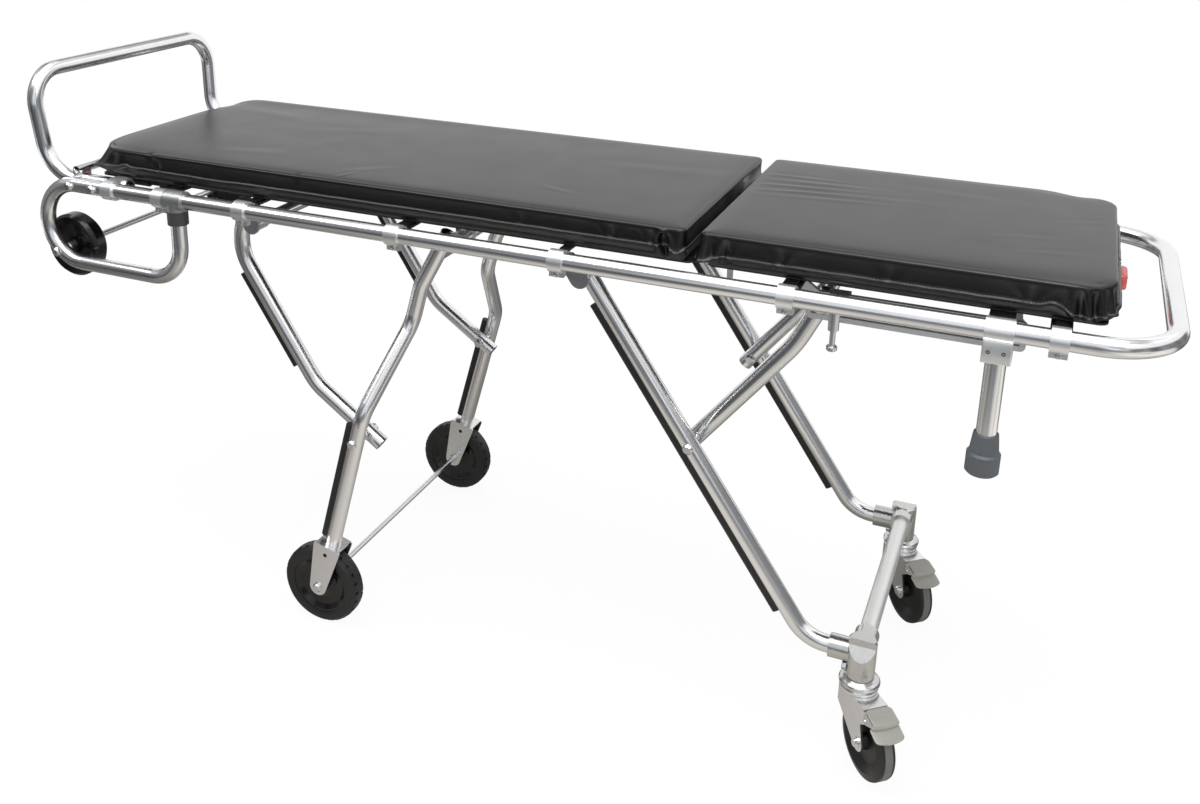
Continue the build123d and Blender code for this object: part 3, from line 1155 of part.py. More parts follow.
rear_shaft_end = REAR_GUIDE_Y + ROLLER_WIDTH / 2 + SIDE_PLAY
rear_shaft_shoulder = BRACE_Y - TUBE_RADIUS
rear_shaft = stepped_shaft(rear_shaft_shoulder, rear_shaft_end)
save("rear_roller_shaft", Pos(REAR_ROLLER_X, 0, PIVOT_HEIGHT) * rear_shaft)
save("rear_rollers", *both_sides(roller(REAR_ROLLER_X, -REAR_GUIDE_Y)))

rear_outer = REAR_LEG_Y + TUBE_RADIUS
rear_inner = REAR_LEG_Y - TUBE_RADIUS
brace_outer = BRACE_Y + TUBE_RADIUS
brace_inner = BRACE_Y - TUBE_RADIUS
bolt_end = -brace_inner + SIDE_PLAY
spacer_end = -brace_outer - SIDE_PLAY
brace_bolt = across(BRACE_BOLT_X, BRACE_BOLT_HEIGHT, PIVOT_BOLT_DIAMETER, -rear_outer, bolt_end)
brace_bolt += bolt_head(BRACE_BOLT_X, BRACE_BOLT_HEIGHT, -rear_outer, -1)
brace_bolt += bolt_head(BRACE_BOLT_X, BRACE_BOLT_HEIGHT, bolt_end, 1)
brace_bolt += across(BRACE_BOLT_X, BRACE_BOLT_HEIGHT, BOLT_HEAD_DIAMETER, -rear_inner, spacer_end)
save("brace_bolts", *both_sides(brace_bolt))

# Castings that join the rear legs, the cross tube and the caster stems
casting = upright(STEM_X, -STEM_Y, CASTING_BOTTOM, CASTING_TOP, CASTING_DIAMETER)
casting = chamfer(casting.edges().group_by(Axis.Z)[-1], CASTING_CHAMFER)
casting += along(STEM_X - LEG_SOCKET_LENGTH, STEM_X, -REAR_LEG_Y, REAR_FOOT_HEIGHT, SOCKET_DIAMETER)
casting += across(STEM_X, CROSS_TUBE_HEIGHT, SOCKET_DIAMETER, -STEM_Y, CROSS_SOCKET_LENGTH - STEM_Y)
tongue_cut = Polygon(
    (-CASTING_DIAMETER / 2 - CUT_OVER, CASTING_TOP - TONGUE_FOOT),
    (-TONGUE_SETBACK, CASTING_TOP - TONGUE_HEAD),
    (-TONGUE_SETBACK, CASTING_TOP + CUT_OVER),
    (-CASTING_DIAMETER / 2 - CUT_OVER, CASTING_TOP + CUT_OVER),
    align=None,
)
tongue_cut = extrude(Plane.YZ * tongue_cut, CASTING_DIAMETER / 2 + CUT_OVER, both=True)
casting -= Pos(STEM_X, -STEM_Y, 0) * tongue_cut
race_radius = RACE_DIAMETER / 2
race_dome = [(race_radius - inward, RACE_BOTTOM + rise) for inward, rise in RACE_DOME]
race_profile = (
    (0, RACE_BOTTOM),
    (race_radius, RACE_BOTTOM),
    (race_radius, RACE_BOTTOM + RACE_LIP),
    *race_dome,
    (CASTING_DIAMETER / 2, CASTING_BOTTOM),
    (0, CASTING_BOTTOM),
)
casting += Pos(STEM_X, -STEM_Y, 0) * turned_upright(race_profile)
casting -= along(0, STEM_X - SOCKET_STOP, -REAR_LEG_Y, REAR_FOOT_HEIGHT, TUBE_DIAMETER)
casting -= across(STEM_X, CROSS_TUBE_HEIGHT, TUBE_DIAMETER, SOCKET_STOP - STEM_Y, 0)
casting -= upright(STEM_X, -STEM_Y, 0, STEM_TOP + SIDE_PLAY, STEM_DIAMETER + 2 * RUNNING_FIT)
save("caster_castings", *both_sides(casting))
cross_end = STEM_Y - SOCKET_STOP
rear_cross_tube = straight_tube(
    (STEM_X, -cross_end, CROSS_TUBE_HEIGHT),
    (STEM_X, cross_end, CROSS_TUBE_HEIGHT),
    TUBE_DIAMETER,
)
save("rear_cross_tube", rear_cross_tube)

# Casters, drawn trailing along +X and then swivelled
plate_bottom = FORK_PLATE_TOP - CASTER_SHEET
race_top = RACE_BOTTOM - RACE_GAP
lower_radius = LOWER_RACE_DIAMETER / 2
stem_profile = (
    (0, plate_bottom),
    (lower_radius - LOWER_RACE_TAPER[0], plate_bottom),
    (lower_radius, FORK_PLATE_TOP + LOWER_RACE_TAPER[1]),
    (lower_radius, FORK_PLATE_TOP + LOWER_RACE_TAPER[1] + LOWER_RACE_LIP),
    (lower_radius - LOWER_RACE_NECK, race_top - LOWER_RACE_LIP / 2),
    (lower_radius - LOWER_RACE_NECK, race_top),
    (STEM_DIAMETER / 2, race_top),
    (STEM_DIAMETER / 2, STEM_TOP),
    (0, STEM_TOP),
)
caster_fork = turned_upright(stem_profile)
caster_nose = Pos(CASTER_TRAIL, CASTER_RADIUS) * Circle(CASTER_NOSE_RADIUS)
caster_crown = RectangleRounded(CASTER_CROWN_LENGTH, CASTER_CROWN_BAND, FORK_CORNER)
caster_crown = Pos(CASTER_CROWN_OFFSET, FORK_PLATE_TOP - CASTER_CROWN_BAND / 2) * caster_crown
arm_outline = make_hull(caster_nose.edges() + caster_crown.edges())
lug_ends = [(x, FORK_PLATE_TOP - drop, LUG_ROOT_RADIUS) for x, drop in LUG_ROOTS]
arm_outline += rounded_link(((PEDAL_PIVOT_X, PEDAL_PIVOT_HEIGHT, LUG_NOSE_RADIUS), *lug_ends))
for near_y in (-CASTER_CHEEK - CASTER_SHEET, CASTER_CHEEK):
    caster_fork += side_plate(arm_outline, near_y, near_y + CASTER_SHEET)
cheek_face = CASTER_CHEEK + CASTER_SHEET
caster_fork += block(CASTER_PLATE, (-cheek_face, cheek_face), (plate_bottom, FORK_PLATE_TOP))
caster_fork += across(CASTER_TRAIL, CASTER_RADIUS, CASTER_AXLE_DIAMETER, -cheek_face, cheek_face)
caster_fork += bolt_head(CASTER_TRAIL, CASTER_RADIUS, -cheek_face, -1)
caster_fork += bolt_head(CASTER_TRAIL, CASTER_RADIUS, cheek_face, 1)
pedal_arm_near = cheek_face + SIDE_PLAY / 2
pedal_arm_far = pedal_arm_near + PEDAL_SHEET
for side in (-1, 1):
    pin_start, pin_end = sorted((side * CASTER_CHEEK, side * (pedal_arm_far + SIDE_PLAY / 2)))
    caster_fork += across(PEDAL_PIVOT_X, PEDAL_PIVOT_HEIGHT, PEDAL_PIN_DIAMETER, pin_start, pin_end)


def tab(start, end, width):
    """One flat step of the pedal, between two (x, height) places on its upper face."""
    run = Vector(end[0] - start[0], 0, end[1] - start[1])
    facing = Plane(origin=(start[0], 0, start[1]), x_dir=run, z_dir=(-run.Z, 0, run.X))
    outline = Pos(run.length / 2, 0) * Rectangle(run.length + SIDE_PLAY, width)
    return extrude(facing * outline, -PEDAL_SHEET)


upper_width = 2 * pedal_arm_far
pedal = tab(PEDAL_LINE[0], PEDAL_LINE[1], upper_width)
pedal += tab(PEDAL_LINE[1], PEDAL_LINE[2], upper_width)
pedal += tab(PEDAL_LINE[2], PEDAL_LINE[3], max(PEDAL_LOWER_WIDTH, upper_width))
first_x, first_height = PEDAL_LINE[0]
second_x, second_height = PEDAL_LINE[1]
corner = PEDAL_CHEEK_RADIUS
pedal_cheek = rounded_link(
    (
        (PEDAL_PIVOT_X, PEDAL_PIVOT_HEIGHT, PEDAL_EYE_RADIUS),
        (first_x + 2 * corner, first_height - 2 * corner, corner),
        (second_x - corner, second_height - 2 * corner, corner),
    )
)
pedal_cheek -= Pos(PEDAL_PIVOT_X, PEDAL_PIVOT_HEIGHT) * Circle(PEDAL_PIN_DIAMETER / 2 + RUNNING_FIT)
for near_y in (-pedal_arm_far, pedal_arm_near):
    pedal += side_plate(pedal_cheek, near_y, near_y + PEDAL_SHEET)

caster_half = CASTER_WIDTH / 2
core_radius = CASTER_RADIUS - CASTER_TREAD
axle_bore = CASTER_AXLE_DIAMETER / 2 + RUNNING_FIT
core_side = (
    (axle_bore, caster_half + SIDE_PLAY),
    (CASTER_BOSS_RADIUS, caster_half + SIDE_PLAY),
    *CASTER_DISH,
    (core_radius - CASTER_RIM, caster_half),
    (core_radius, caster_half - CASTER_TREAD_INSET),
)
core = both_faces(core_side)
tread_half = caster_half - CASTER_TREAD_INSET
crown_drop, crown_reach = CASTER_TREAD_CROWN
tread_side = (
    (core_radius, tread_half),
    (CASTER_RADIUS - crown_drop, tread_half - crown_drop),
    (CASTER_RADIUS, tread_half - crown_reach),
)
tread = both_faces(tread_side)
in_fork = Pos(CASTER_TRAIL, 0, CASTER_RADIUS)
for side_name, stem_y in (("left", -STEM_Y), ("right", STEM_Y)):
    swivel = Pos(STEM_X, stem_y, 0) * Rot(0, 0, CASTER_ANGLE)
    save(f"{side_name}_caster_fork", swivel * caster_fork)
    save(f"{side_name}_brake_pedal", swivel * pedal)
    save(f"{side_name}_caster_wheel", swivel * in_fork * core)
    save(f"{side_name}_caster_tread", swivel * in_fork * tread)

# Loading wheels on an axle through the loops
loading_half = LOADING_WHEEL_WIDTH / 2
loading_radius = LOADING_WHEEL_DIAMETER / 2
loading_bore = LOADING_AXLE_DIAMETER / 2 + RUNNING_FIT
loading_side = (
    (loading_bore, loading_half),
    (LOADING_BOSS[0], loading_half),
    (LOADING_BOSS[1], LOADING_DISH[0]),
    (loading_radius - LOADING_DISH_INSET, LOADING_DISH[1]),
    *[(loading_radius - inset, loading_half - drop) for inset, drop in LOADING_RIM_STEPS],
)
loading_wheel = both_faces(loading_side)
save_sides("loading_wheel", Pos(LOADING_AXLE_X, -LOADING_WHEEL_Y, LOADING_AXLE_HEIGHT) * loading_wheel)

rail_face = RAIL_Y + TUBE_RADIUS
axle = across(LOADING_AXLE_X, LOADING_AXLE_HEIGHT, LOADING_AXLE_DIAMETER, -rail_face, rail_face)
collar_outer = across(
    LOADING_AXLE_X,
    LOADING_AXLE_HEIGHT,
    LOADING_COLLAR_DIAMETER,
    TUBE_RADIUS - RAIL_Y,
    -LOADING_WHEEL_Y - loading_half - SIDE_PLAY,
)
collar_inner = across(
    LOADING_AXLE_X,
    LOADING_AXLE_HEIGHT,
    LOADING_COLLAR_DIAMETER,
    -LOADING_WHEEL_Y + loading_half + SIDE_PLAY,
    -LOADING_WHEEL_Y + loading_half + SIDE_PLAY + BOLT_HEAD_HEIGHT,
)
for piece in (collar_outer, collar_inner, bolt_head(LOADING_AXLE_X, LOADING_AXLE_HEIGHT, -rail_face, -1)):
    axle += both_sides(piece)
save("loading_axle", axle)

# Bolts that hold the handle to the rails, with the pivot pins
handle_bolts = []
handle_face = HANDLE_Y - TUBE_RADIUS
for bolt_x in HANDLE_BOLT_XS:
    handle_bolt = across(bolt_x, RAIL_HEIGHT, PIVOT_BOLT_DIAMETER, -rail_face, -handle_face)
    handle_bolt += bolt_head(bolt_x, RAIL_HEIGHT, -rail_face, -1)
    handle_bolt += bolt_head(bolt_x, RAIL_HEIGHT, -handle_face, 1)
    handle_bolts += both_sides(handle_bolt)
save("frame_bolts", *handle_bolts, *both_sides(front_pin), *both_sides(rear_pin))

# Locking stud for the vehicle, hung from a plate on top of the left rear guide plate
head_top = STUD_BOTTOM + STUD_HEAD_HEIGHT
neck_top = head_top + STUD_NECK_LENGTH
stud_radius = STUD_HEAD_DIAMETER / 2
stud_rim = stud_radius - STUD_HEAD_CHAMFER
neck_radius = STUD_NECK_DIAMETER / 2
stud_profile = (
    (0, STUD_BOTTOM),
    (stud_rim, STUD_BOTTOM),
    (stud_radius, STUD_BOTTOM + STUD_HEAD_CHAMFER),
    (stud_radius, head_top - STUD_HEAD_CHAMFER),
    (stud_rim, head_top),
    (neck_radius, head_top),
    (neck_radius, neck_top),
    (stud_radius, neck_top),
    (stud_radius, rear_guide_top),
    (0, rear_guide_top),
)
stud = Pos(STUD_X, STUD_Y, 0) * turned_upright(stud_profile)
stud += block(
    (STUD_X - STUD_PLATE_LENGTH / 2, STUD_X + STUD_PLATE_LENGTH / 2),
    (STUD_Y - stud_radius, rear_near + GUIDE_THICKNESS),
    (rear_guide_top, rear_guide_top + BRACKET_PLATE),
)
save("locking_stud", stud)

# Red releases, each a grip on a sliding rod in a guide block
rod_start = BOW_JOINT_X - BAR_WIDTH
grip_low = RELEASE_ROD_HEIGHT - RELEASE_ROD_DIAMETER
operator_release = along(rod_start, RELEASE_GRIP_X, 0, RELEASE_ROD_HEIGHT, RELEASE_ROD_DIAMETER)
grip_round = RELEASE_GRIP_THICKNESS / 2 - GRIP_ROUND_GAP
grip_outline = RectangleRounded(RELEASE_GRIP_THICKNESS, RELEASE_GRIP_LENGTH, grip_round)
operator_release += extrude(Pos(RELEASE_GRIP_X, 0, grip_low) * grip_outline, RELEASE_GRIP_HEIGHT)
save("operator_release", operator_release)

grip_start = LOADING_RELEASE_X - LOADING_GRIP_LENGTH / 2
grip_end = grip_start + LOADING_GRIP_LENGTH
rod_end = LOADING_GUIDE_X + GUIDE_BLOCK + LOADING_ROD_END
loading_release = along(grip_start, grip_end, LOADING_RELEASE_Y, LOADING_ROD_HEIGHT, LOADING_GRIP_DIAMETER)
loading_release += along(grip_start, rod_end, LOADING_RELEASE_Y, LOADING_ROD_HEIGHT, RELEASE_ROD_DIAMETER)
save("loading_release", loading_release)


def release_guide(x, y, rod_height, top):
    """A block that a release rod slides through."""
    half = GUIDE_BLOCK / 2
    guide = block((x - half, x + half), (y - half, y + half), (rod_height - half, top))
    bore = RELEASE_ROD_DIAMETER + 2 * RUNNING_FIT
    return guide - along(x - GUIDE_BLOCK, x + GUIDE_BLOCK, y, rod_height, bore)


brackets.append(release_guide(BOW_JOINT_X, 0, RELEASE_ROD_HEIGHT, BAR_BOTTOM))
brackets.append(release_guide(LOADING_GUIDE_X, LOADING_RELEASE_Y, LOADING_ROD_HEIGHT, DECK_BOTTOM))
save("deck_brackets", *brackets)
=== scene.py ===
# %% [markdown]
# # A folding mortuary cot in a white studio
# The frame, legs, wheels and hardware come from the CAD model and stay where it put them.
# This lesson gives them their finishes, sews the two black covers over the pads and adds the
# moulded pedals, the red grip and the small sewn and turned details.

from math import pi, radians

import bpy
import numpy as np
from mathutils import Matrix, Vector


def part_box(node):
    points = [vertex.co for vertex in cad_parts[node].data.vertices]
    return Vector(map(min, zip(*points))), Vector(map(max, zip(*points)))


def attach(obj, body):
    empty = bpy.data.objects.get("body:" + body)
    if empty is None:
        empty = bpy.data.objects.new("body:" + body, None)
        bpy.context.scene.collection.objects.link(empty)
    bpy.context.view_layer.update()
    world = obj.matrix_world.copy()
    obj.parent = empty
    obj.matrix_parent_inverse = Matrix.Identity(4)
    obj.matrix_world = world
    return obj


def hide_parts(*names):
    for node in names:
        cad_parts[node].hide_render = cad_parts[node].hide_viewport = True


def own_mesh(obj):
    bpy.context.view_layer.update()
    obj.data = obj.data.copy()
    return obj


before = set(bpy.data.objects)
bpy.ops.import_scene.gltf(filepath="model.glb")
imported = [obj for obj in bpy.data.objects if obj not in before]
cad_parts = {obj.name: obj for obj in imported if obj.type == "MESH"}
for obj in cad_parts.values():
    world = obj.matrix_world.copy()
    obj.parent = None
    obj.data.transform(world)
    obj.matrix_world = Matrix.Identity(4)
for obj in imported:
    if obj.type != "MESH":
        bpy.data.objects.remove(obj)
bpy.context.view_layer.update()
MM = 0.001
scene = bpy.context.scene
scene.view_settings.view_transform = "Standard"

# %% [markdown]
# ## The camera
# The photograph is taken from above the near corner of the cot's operator end. Points whose place
# is known, such as the axle ends and the rails, were matched to the picture to find the lens and
# the viewpoint. The picture's middle lies right of and below the lens axis, so the camera is
# shifted.

# %% Camera
CAMERA_PLACE = (0.7906, -1.88444, 1.40828)
CAMERA_TURN = (72.2063, -0.623, 23.6837)
CAMERA_LENS, SENSOR_WIDTH = 36.5204922, 36.0
CAMERA_SHIFT = (0.0416667, -0.1516667)

camera_data = bpy.data.cameras.new("studio_camera")
camera_data.lens = CAMERA_LENS
camera_data.sensor_width = SENSOR_WIDTH
camera_data.shift_x, camera_data.shift_y = CAMERA_SHIFT
camera = bpy.data.objects.new("studio_camera", camera_data)
camera.location = CAMERA_PLACE
camera.rotation_euler = [radians(angle) for angle in CAMERA_TURN]
scene.collection.objects.link(camera)
scene.camera = camera
print("camera at", CAMERA_PLACE, "lens", CAMERA_LENS)

# %% [markdown]
# ## Grids become meshes
# Every new piece below is a grid of points: one parameter runs round or along the piece, the
# other across it. Neighbouring grid points are joined by four-sided faces. Working on whole
# arrays keeps the code short and quick, and the face list follows from the grid's two counts.


# %% Mesh helpers
def grid_quads(rows, cols, wrap):
    """Corner numbers of each face between grid neighbours.

    With wrap, the last column meets the first.
    """
    row, col = np.meshgrid(
        np.arange(rows - 1), np.arange(cols if wrap else cols - 1), indexing="ij"
    )
    after, below = (col + 1) % cols, row + 1
    corners = [row * cols + col, row * cols + after, below * cols + after, below * cols + col]
    return np.stack(corners, axis=-1).reshape(-1, 4)


def put_mesh(name, points, faces, body, slot, crease=None, material=None):
    """Makes a mesh from points in millimetres and fixes it to a body.

    Its finish is the slot's unless another is given. Edges that bend by more than the crease, in
    degrees, stay sharp.
    """
    mesh = bpy.data.meshes.new(name)
    mesh.from_pydata((np.asarray(points) * MM).tolist(), [], faces)
    mesh.shade_smooth()
    if crease is not None:
        mesh.set_sharp_from_angle(angle=radians(crease))
    mesh.materials.append(material or looks[slot])
    piece = bpy.data.objects.new(name, mesh)
    scene.collection.objects.link(piece)
    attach(piece, body)
    return piece


# %% [markdown]
# ## Studio
# The cot stands on a white sweep. Polished tube is mostly a picture of the room, so the room
# matters more than the paint: white above and behind, a dim side where the photographer stands
# and a warm grey floor give the bright, dark and beige stripes of the photograph. The dim side is
# made of studio cards that only reflections see. Each card is a little uneven, as a real room is,
# so that an upright tube shows several bands.

# %% Stage helpers
WALL_REACH = 3.4
WHITE = (1.0, 1.0, 1.0)
CLOUD_LOW, CLOUD_HIGH = 0.35, 0.65
SWING_LOW, SWING_HIGH = 0.45, 1.7


def add_node(tree, kind, sockets=None, **settings):
    """Adds a shader node; a socket value is a constant or another node's output to link."""
    made = tree.nodes.new("ShaderNode" + kind)
    for key, value in settings.items():
        setattr(made, key, value)
    for key, value in (sockets or {}).items():
        if isinstance(value, bpy.types.NodeSocket):
            tree.links.new(value, made.inputs[key])
        else:
            made.inputs[key].default_value = value
    return made


def reckon(tree, operation, *values):
    """The result of a Math node with one or two values."""
    return add_node(tree, "Math", dict(enumerate(values)), operation=operation).outputs[0]


def ranged(tree, value, low, high, new_low=0.0, new_high=1.0):
    """A value carried from one range to another and kept inside it."""
    sockets = {0: value, 1: low, 2: high, 3: new_low, 4: new_high}
    return add_node(tree, "MapRange", sockets).outputs[0]


def blank_tree(holder):
    """Turns on the shader nodes of a material or world and empties them."""
    holder.use_nodes = True
    holder.node_tree.nodes.clear()
    return holder.node_tree


def seen_directly(tree):
    """1 for camera, glossy and transmission rays, 0 for the rays that light things."""
    rays = add_node(tree, "LightPath").outputs
    shiny = reckon(tree, "MAXIMUM", rays["Is Glossy Ray"], rays["Is Transmission Ray"])
    return reckon(tree, "MAXIMUM", rays["Is Camera Ray"], shiny)


def level_corners(low, high, height):
    """The corners of a level rectangle between two opposite corners."""
    return [(low[0], low[1], height), (high[0], low[1], height),
            (high[0], high[1], height), (low[0], high[1], height)]


def one_face(name, corners, material):
    """An object with a single four-sided face."""
    mesh = bpy.data.meshes.new(name)
    mesh.from_pydata(corners, [], [(0, 1, 2, 3)])
    mesh.materials.append(material)
    sheet = bpy.data.objects.new(name, mesh)
    scene.collection.objects.link(sheet)
    return sheet


def stage_card(name, corners, colour, glow, stripes):
    """A flat glowing card that only reflections see.

    Its glow runs from the first to the second value along X, times a soft noise that the
    stripes stretch.
    """
    material = bpy.data.materials.new(name)
    tree = blank_tree(material)
    place = add_node(tree, "TexCoord").outputs["Object"]
    along_x = add_node(tree, "SeparateXYZ", {0: place}).outputs[0]
    level = ranged(tree, along_x, -WALL_REACH, WALL_REACH, *glow)
    spread = add_node(tree, "Mapping", {"Vector": place, "Scale": stripes})
    cloud = add_node(tree, "TexNoise", {"Vector": spread.outputs[0], "Scale": 1.0, "Detail": 1.0})
    swing = ranged(tree, cloud.outputs[0], CLOUD_LOW, CLOUD_HIGH, SWING_LOW, SWING_HIGH)
    strength = reckon(tree, "MULTIPLY", level, swing)
    light = add_node(tree, "Emission", {"Color": (*colour, 1), "Strength": strength})
    add_node(tree, "OutputMaterial", {"Surface": light.outputs[0]})
    card = one_face(name, corners, material)
    for ray in ("camera", "diffuse", "shadow", "transmission"):
        setattr(card, f"visible_{ray}", False)


# %% World, floor and lamp
ROOM_LIGHT = 0.55
FLOOR_REACH = 12
FLOOR_PAINT = 0.92
FLOOR_GLOW, GLOW_STRENGTH = 0.86, 1.08
LAMP_POWER = 26.0
LAMP_SIZE = (2.6, 1.8)
LAMP_PLACE = (0.1, -0.5, 2.7)
LAMP_TILT = -10

world = bpy.data.worlds.new("white_room")
scene.world = world
sky = blank_tree(world)
level = ranged(sky, seen_directly(sky), 0.0, 1.0, ROOM_LIGHT, 1.0)
backdrop = add_node(sky, "Background", {"Color": (*WHITE, 1), "Strength": level})
add_node(sky, "OutputWorld", {"Surface": backdrop.outputs[0]})

floor_finish = bpy.data.materials.new("white_sweep")
ground = blank_tree(floor_finish)
paint = add_node(ground, "BsdfDiffuse", {"Color": (FLOOR_PAINT, FLOOR_PAINT, FLOOR_PAINT, 1)})
glow = add_node(ground, "Emission", {"Color": (*WHITE, 1), "Strength": GLOW_STRENGTH})
share = reckon(ground, "MULTIPLY", seen_directly(ground), FLOOR_GLOW)
mixed = add_node(ground, "MixShader", {0: share, 1: paint.outputs[0], 2: glow.outputs[0]})
add_node(ground, "OutputMaterial", {"Surface": mixed.outputs[0]})
floor_corners = level_corners((-FLOOR_REACH, -FLOOR_REACH), (FLOOR_REACH, FLOOR_REACH), 0)
floor = one_face("studio_floor", floor_corners, floor_finish)

lamp_data = bpy.data.lights.new("overhead_softbox", "AREA")
lamp_data.shape = "RECTANGLE"
lamp_data.size, lamp_data.size_y = LAMP_SIZE
lamp_data.energy = LAMP_POWER
lamp = bpy.data.objects.new("overhead_softbox", lamp_data)
lamp.location = LAMP_PLACE
lamp.rotation_euler = (radians(LAMP_TILT), 0, 0)
scene.collection.objects.link(lamp)
print("stage: floor and softbox")

# %% Cards that the metal reflects
NEAR_TOP, SIDE_TOP = 3.3, 1.8
DARK_Y, DARK_TOP = 2.0, 0.75
MAT_X, MAT_Y, MAT_NEAR = 2.6, 0.68, 1.5
CARD_END_Y, CARD_LIFT = 1.5, 0.002
NEAR_LOADING = (-WALL_REACH, -WALL_REACH)
NEAR_OPERATOR = (WALL_REACH, -WALL_REACH)
FAR_OPERATOR = (WALL_REACH, WALL_REACH)
FAR_LOADING = (-WALL_REACH, CARD_END_Y)
STRIP_LOW, STRIP_HIGH, STRIP_TOP = (-2.6, -1.7), (2.2, -0.7), 2.6
STRIP_GLOW, CEILING_GLOW = (1.5, 9.0), (0.25, 1.2)
COOL = (0.93, 0.96, 1.0)
WARM = (1.0, 0.955, 0.89)
UPRIGHT_STRIPES = (1.1, 1.1, 0.25)
FLAT_STRIPES = (0.8, 0.8, 1.0)


def upright_card(name, start, end, foot, top, glow):
    """A cool upright card from one point of the plan to another, between two heights."""
    corners = [(*start, foot), (*end, foot), (*end, top), (*start, top)]
    stage_card(name, corners, COOL, glow, UPRIGHT_STRIPES)


def floor_card(name, low, high, colour, glow):
    """A card just above the floor between two corners."""
    stage_card(name, level_corners(low, high, CARD_LIFT), colour, glow, FLAT_STRIPES)


upright_card("near_skirting_card", NEAR_LOADING, NEAR_OPERATOR, 0.0, DARK_TOP, (0.03, 0.26))
upright_card("near_wall_card", NEAR_LOADING, NEAR_OPERATOR, DARK_TOP, NEAR_TOP, (0.07, 0.95))
upright_card("loading_wall_card", NEAR_LOADING, FAR_LOADING, 0.0, SIDE_TOP, (0.17, 0.17))
upright_card("loading_upper_card", NEAR_LOADING, FAR_LOADING, SIDE_TOP, NEAR_TOP, (0.42, 0.42))
upright_card("operator_wall_card", NEAR_OPERATOR, FAR_OPERATOR, 0.0, SIDE_TOP, (0.24, 0.24))
floor_card("warm_floor_card", (-MAT_X, -MAT_NEAR), (MAT_X, MAT_Y), WARM, (0.03, 0.76))
floor_card("near_floor_card", (-WALL_REACH, -DARK_Y), (WALL_REACH, -MAT_NEAR), COOL, (0.05, 0.5))
floor_card("dark_floor_card", NEAR_LOADING, (WALL_REACH, -DARK_Y), COOL, (0.02, 0.3))
floor_card("far_floor_card", (-WALL_REACH, MAT_Y), FAR_OPERATOR, COOL, (0.14, 0.2))
strip_corners = level_corners(STRIP_LOW, STRIP_HIGH, STRIP_TOP)
stage_card("strip_softbox_card", strip_corners, WHITE, STRIP_GLOW, FLAT_STRIPES)
ceiling_corners = level_corners(NEAR_LOADING, FAR_OPERATOR, NEAR_TOP)
stage_card("ceiling_card", ceiling_corners, WHITE, CEILING_GLOW, FLAT_STRIPES)
print("five wall cards, four floor cards, a strip softbox and a ceiling")

# %% [markdown]
# ## Finishes
# A finish is more than a colour: drawn tube carries fine lengthwise streaks, castings are slightly
# pebbled, rubber is dull and dusty. Each finish mixes noise in object coordinates into the colour,
# the roughness and a faint bump. Streaks are stretched along each tube's own direction. Where one
# solid shows two materials, a mask worked out from the place on the piece mixes a second colour in.

# %% Finish builder
BROAD_GRAIN = 14.0
NOISE_LOW, NOISE_HIGH = 0.3, 0.7
MASK_BLUR = 0.4


def finish(name, colour, rough, metallic=0.0, lean=0.0, stretch=1.0, across=False, grain=700.0,
           tone=0.10, bump=0.05, bump_depth=0.0002, spread=0.06, specular=0.5, mask=None,
           second=None):
    """Colour, roughness and bump from two noises: a broad one and a fine one along the piece.

    With a mask, the second (colour, rough, metallic) shows where the mask is 1.
    """
    material = bpy.data.materials.new(name)
    material.use_nodes = True
    tree = material.node_tree
    shader = tree.nodes["Principled BSDF"]
    place = add_node(tree, "TexCoord").outputs["Object"]
    turn = (0, radians(lean), radians(90) if across else 0)
    drawn = add_node(tree, "Mapping", {"Vector": place, "Rotation": turn, "Scale": (stretch, 1, 1)},
                     vector_type="TEXTURE")
    fine = add_node(tree, "TexNoise", {"Vector": drawn.outputs[0], "Scale": grain, "Detail": 3.0})
    broad = add_node(tree, "TexNoise", {"Vector": place, "Scale": BROAD_GRAIN, "Detail": 2.0})
    mixed = add_node(tree, "Mix", {0: 0.5, 2: fine.outputs[0], 3: broad.outputs[0]}).outputs[0]

    def shades(base):
        ramp = add_node(tree, "ValToRGB", {0: mixed})
        dark, light = ramp.color_ramp.elements
        dark.position, light.position = NOISE_LOW, NOISE_HIGH
        dark.color = (*[c * (1 - tone) for c in base], 1)
        light.color = (*[min(1.0, c * (1 + tone)) for c in base], 1)
        return ramp.outputs[0]

    def roughness(base):
        return ranged(tree, mixed, NOISE_LOW, NOISE_HIGH, base - spread, base + spread)

    tint, gloss = shades(colour), roughness(rough)
    if mask:
        share = mask(tree, place)
        tint = add_node(tree, "Mix", {0: share, 6: tint, 7: shades(second[0])},
                        data_type="RGBA").outputs[2]
        gloss = add_node(tree, "Mix", {0: share, 2: gloss, 3: roughness(second[1])}).outputs[0]
        metal = ranged(tree, share, 0.0, 1.0, metallic, second[2])
        tree.links.new(metal, shader.inputs["Metallic"])
    else:
        shader.inputs["Metallic"].default_value = metallic
    tree.links.new(tint, shader.inputs["Base Color"])
    tree.links.new(gloss, shader.inputs["Roughness"])
    dents = add_node(tree, "Bump", {"Strength": bump, "Distance": bump_depth,
                                    "Height": fine.outputs[0]})
    tree.links.new(dents.outputs[0], shader.inputs["Normal"])
    shader.inputs["Specular IOR Level"].default_value = specular
    return material


def beyond(axis, level):
    """Mask that is 1 where the coordinate on an axis is over a level in millimetres."""
    def build(tree, place):
        value = add_node(tree, "SeparateXYZ", {0: place}).outputs[axis]
        return ranged(tree, value, (level - MASK_BLUR) * MM, (level + MASK_BLUR) * MM)
    return build


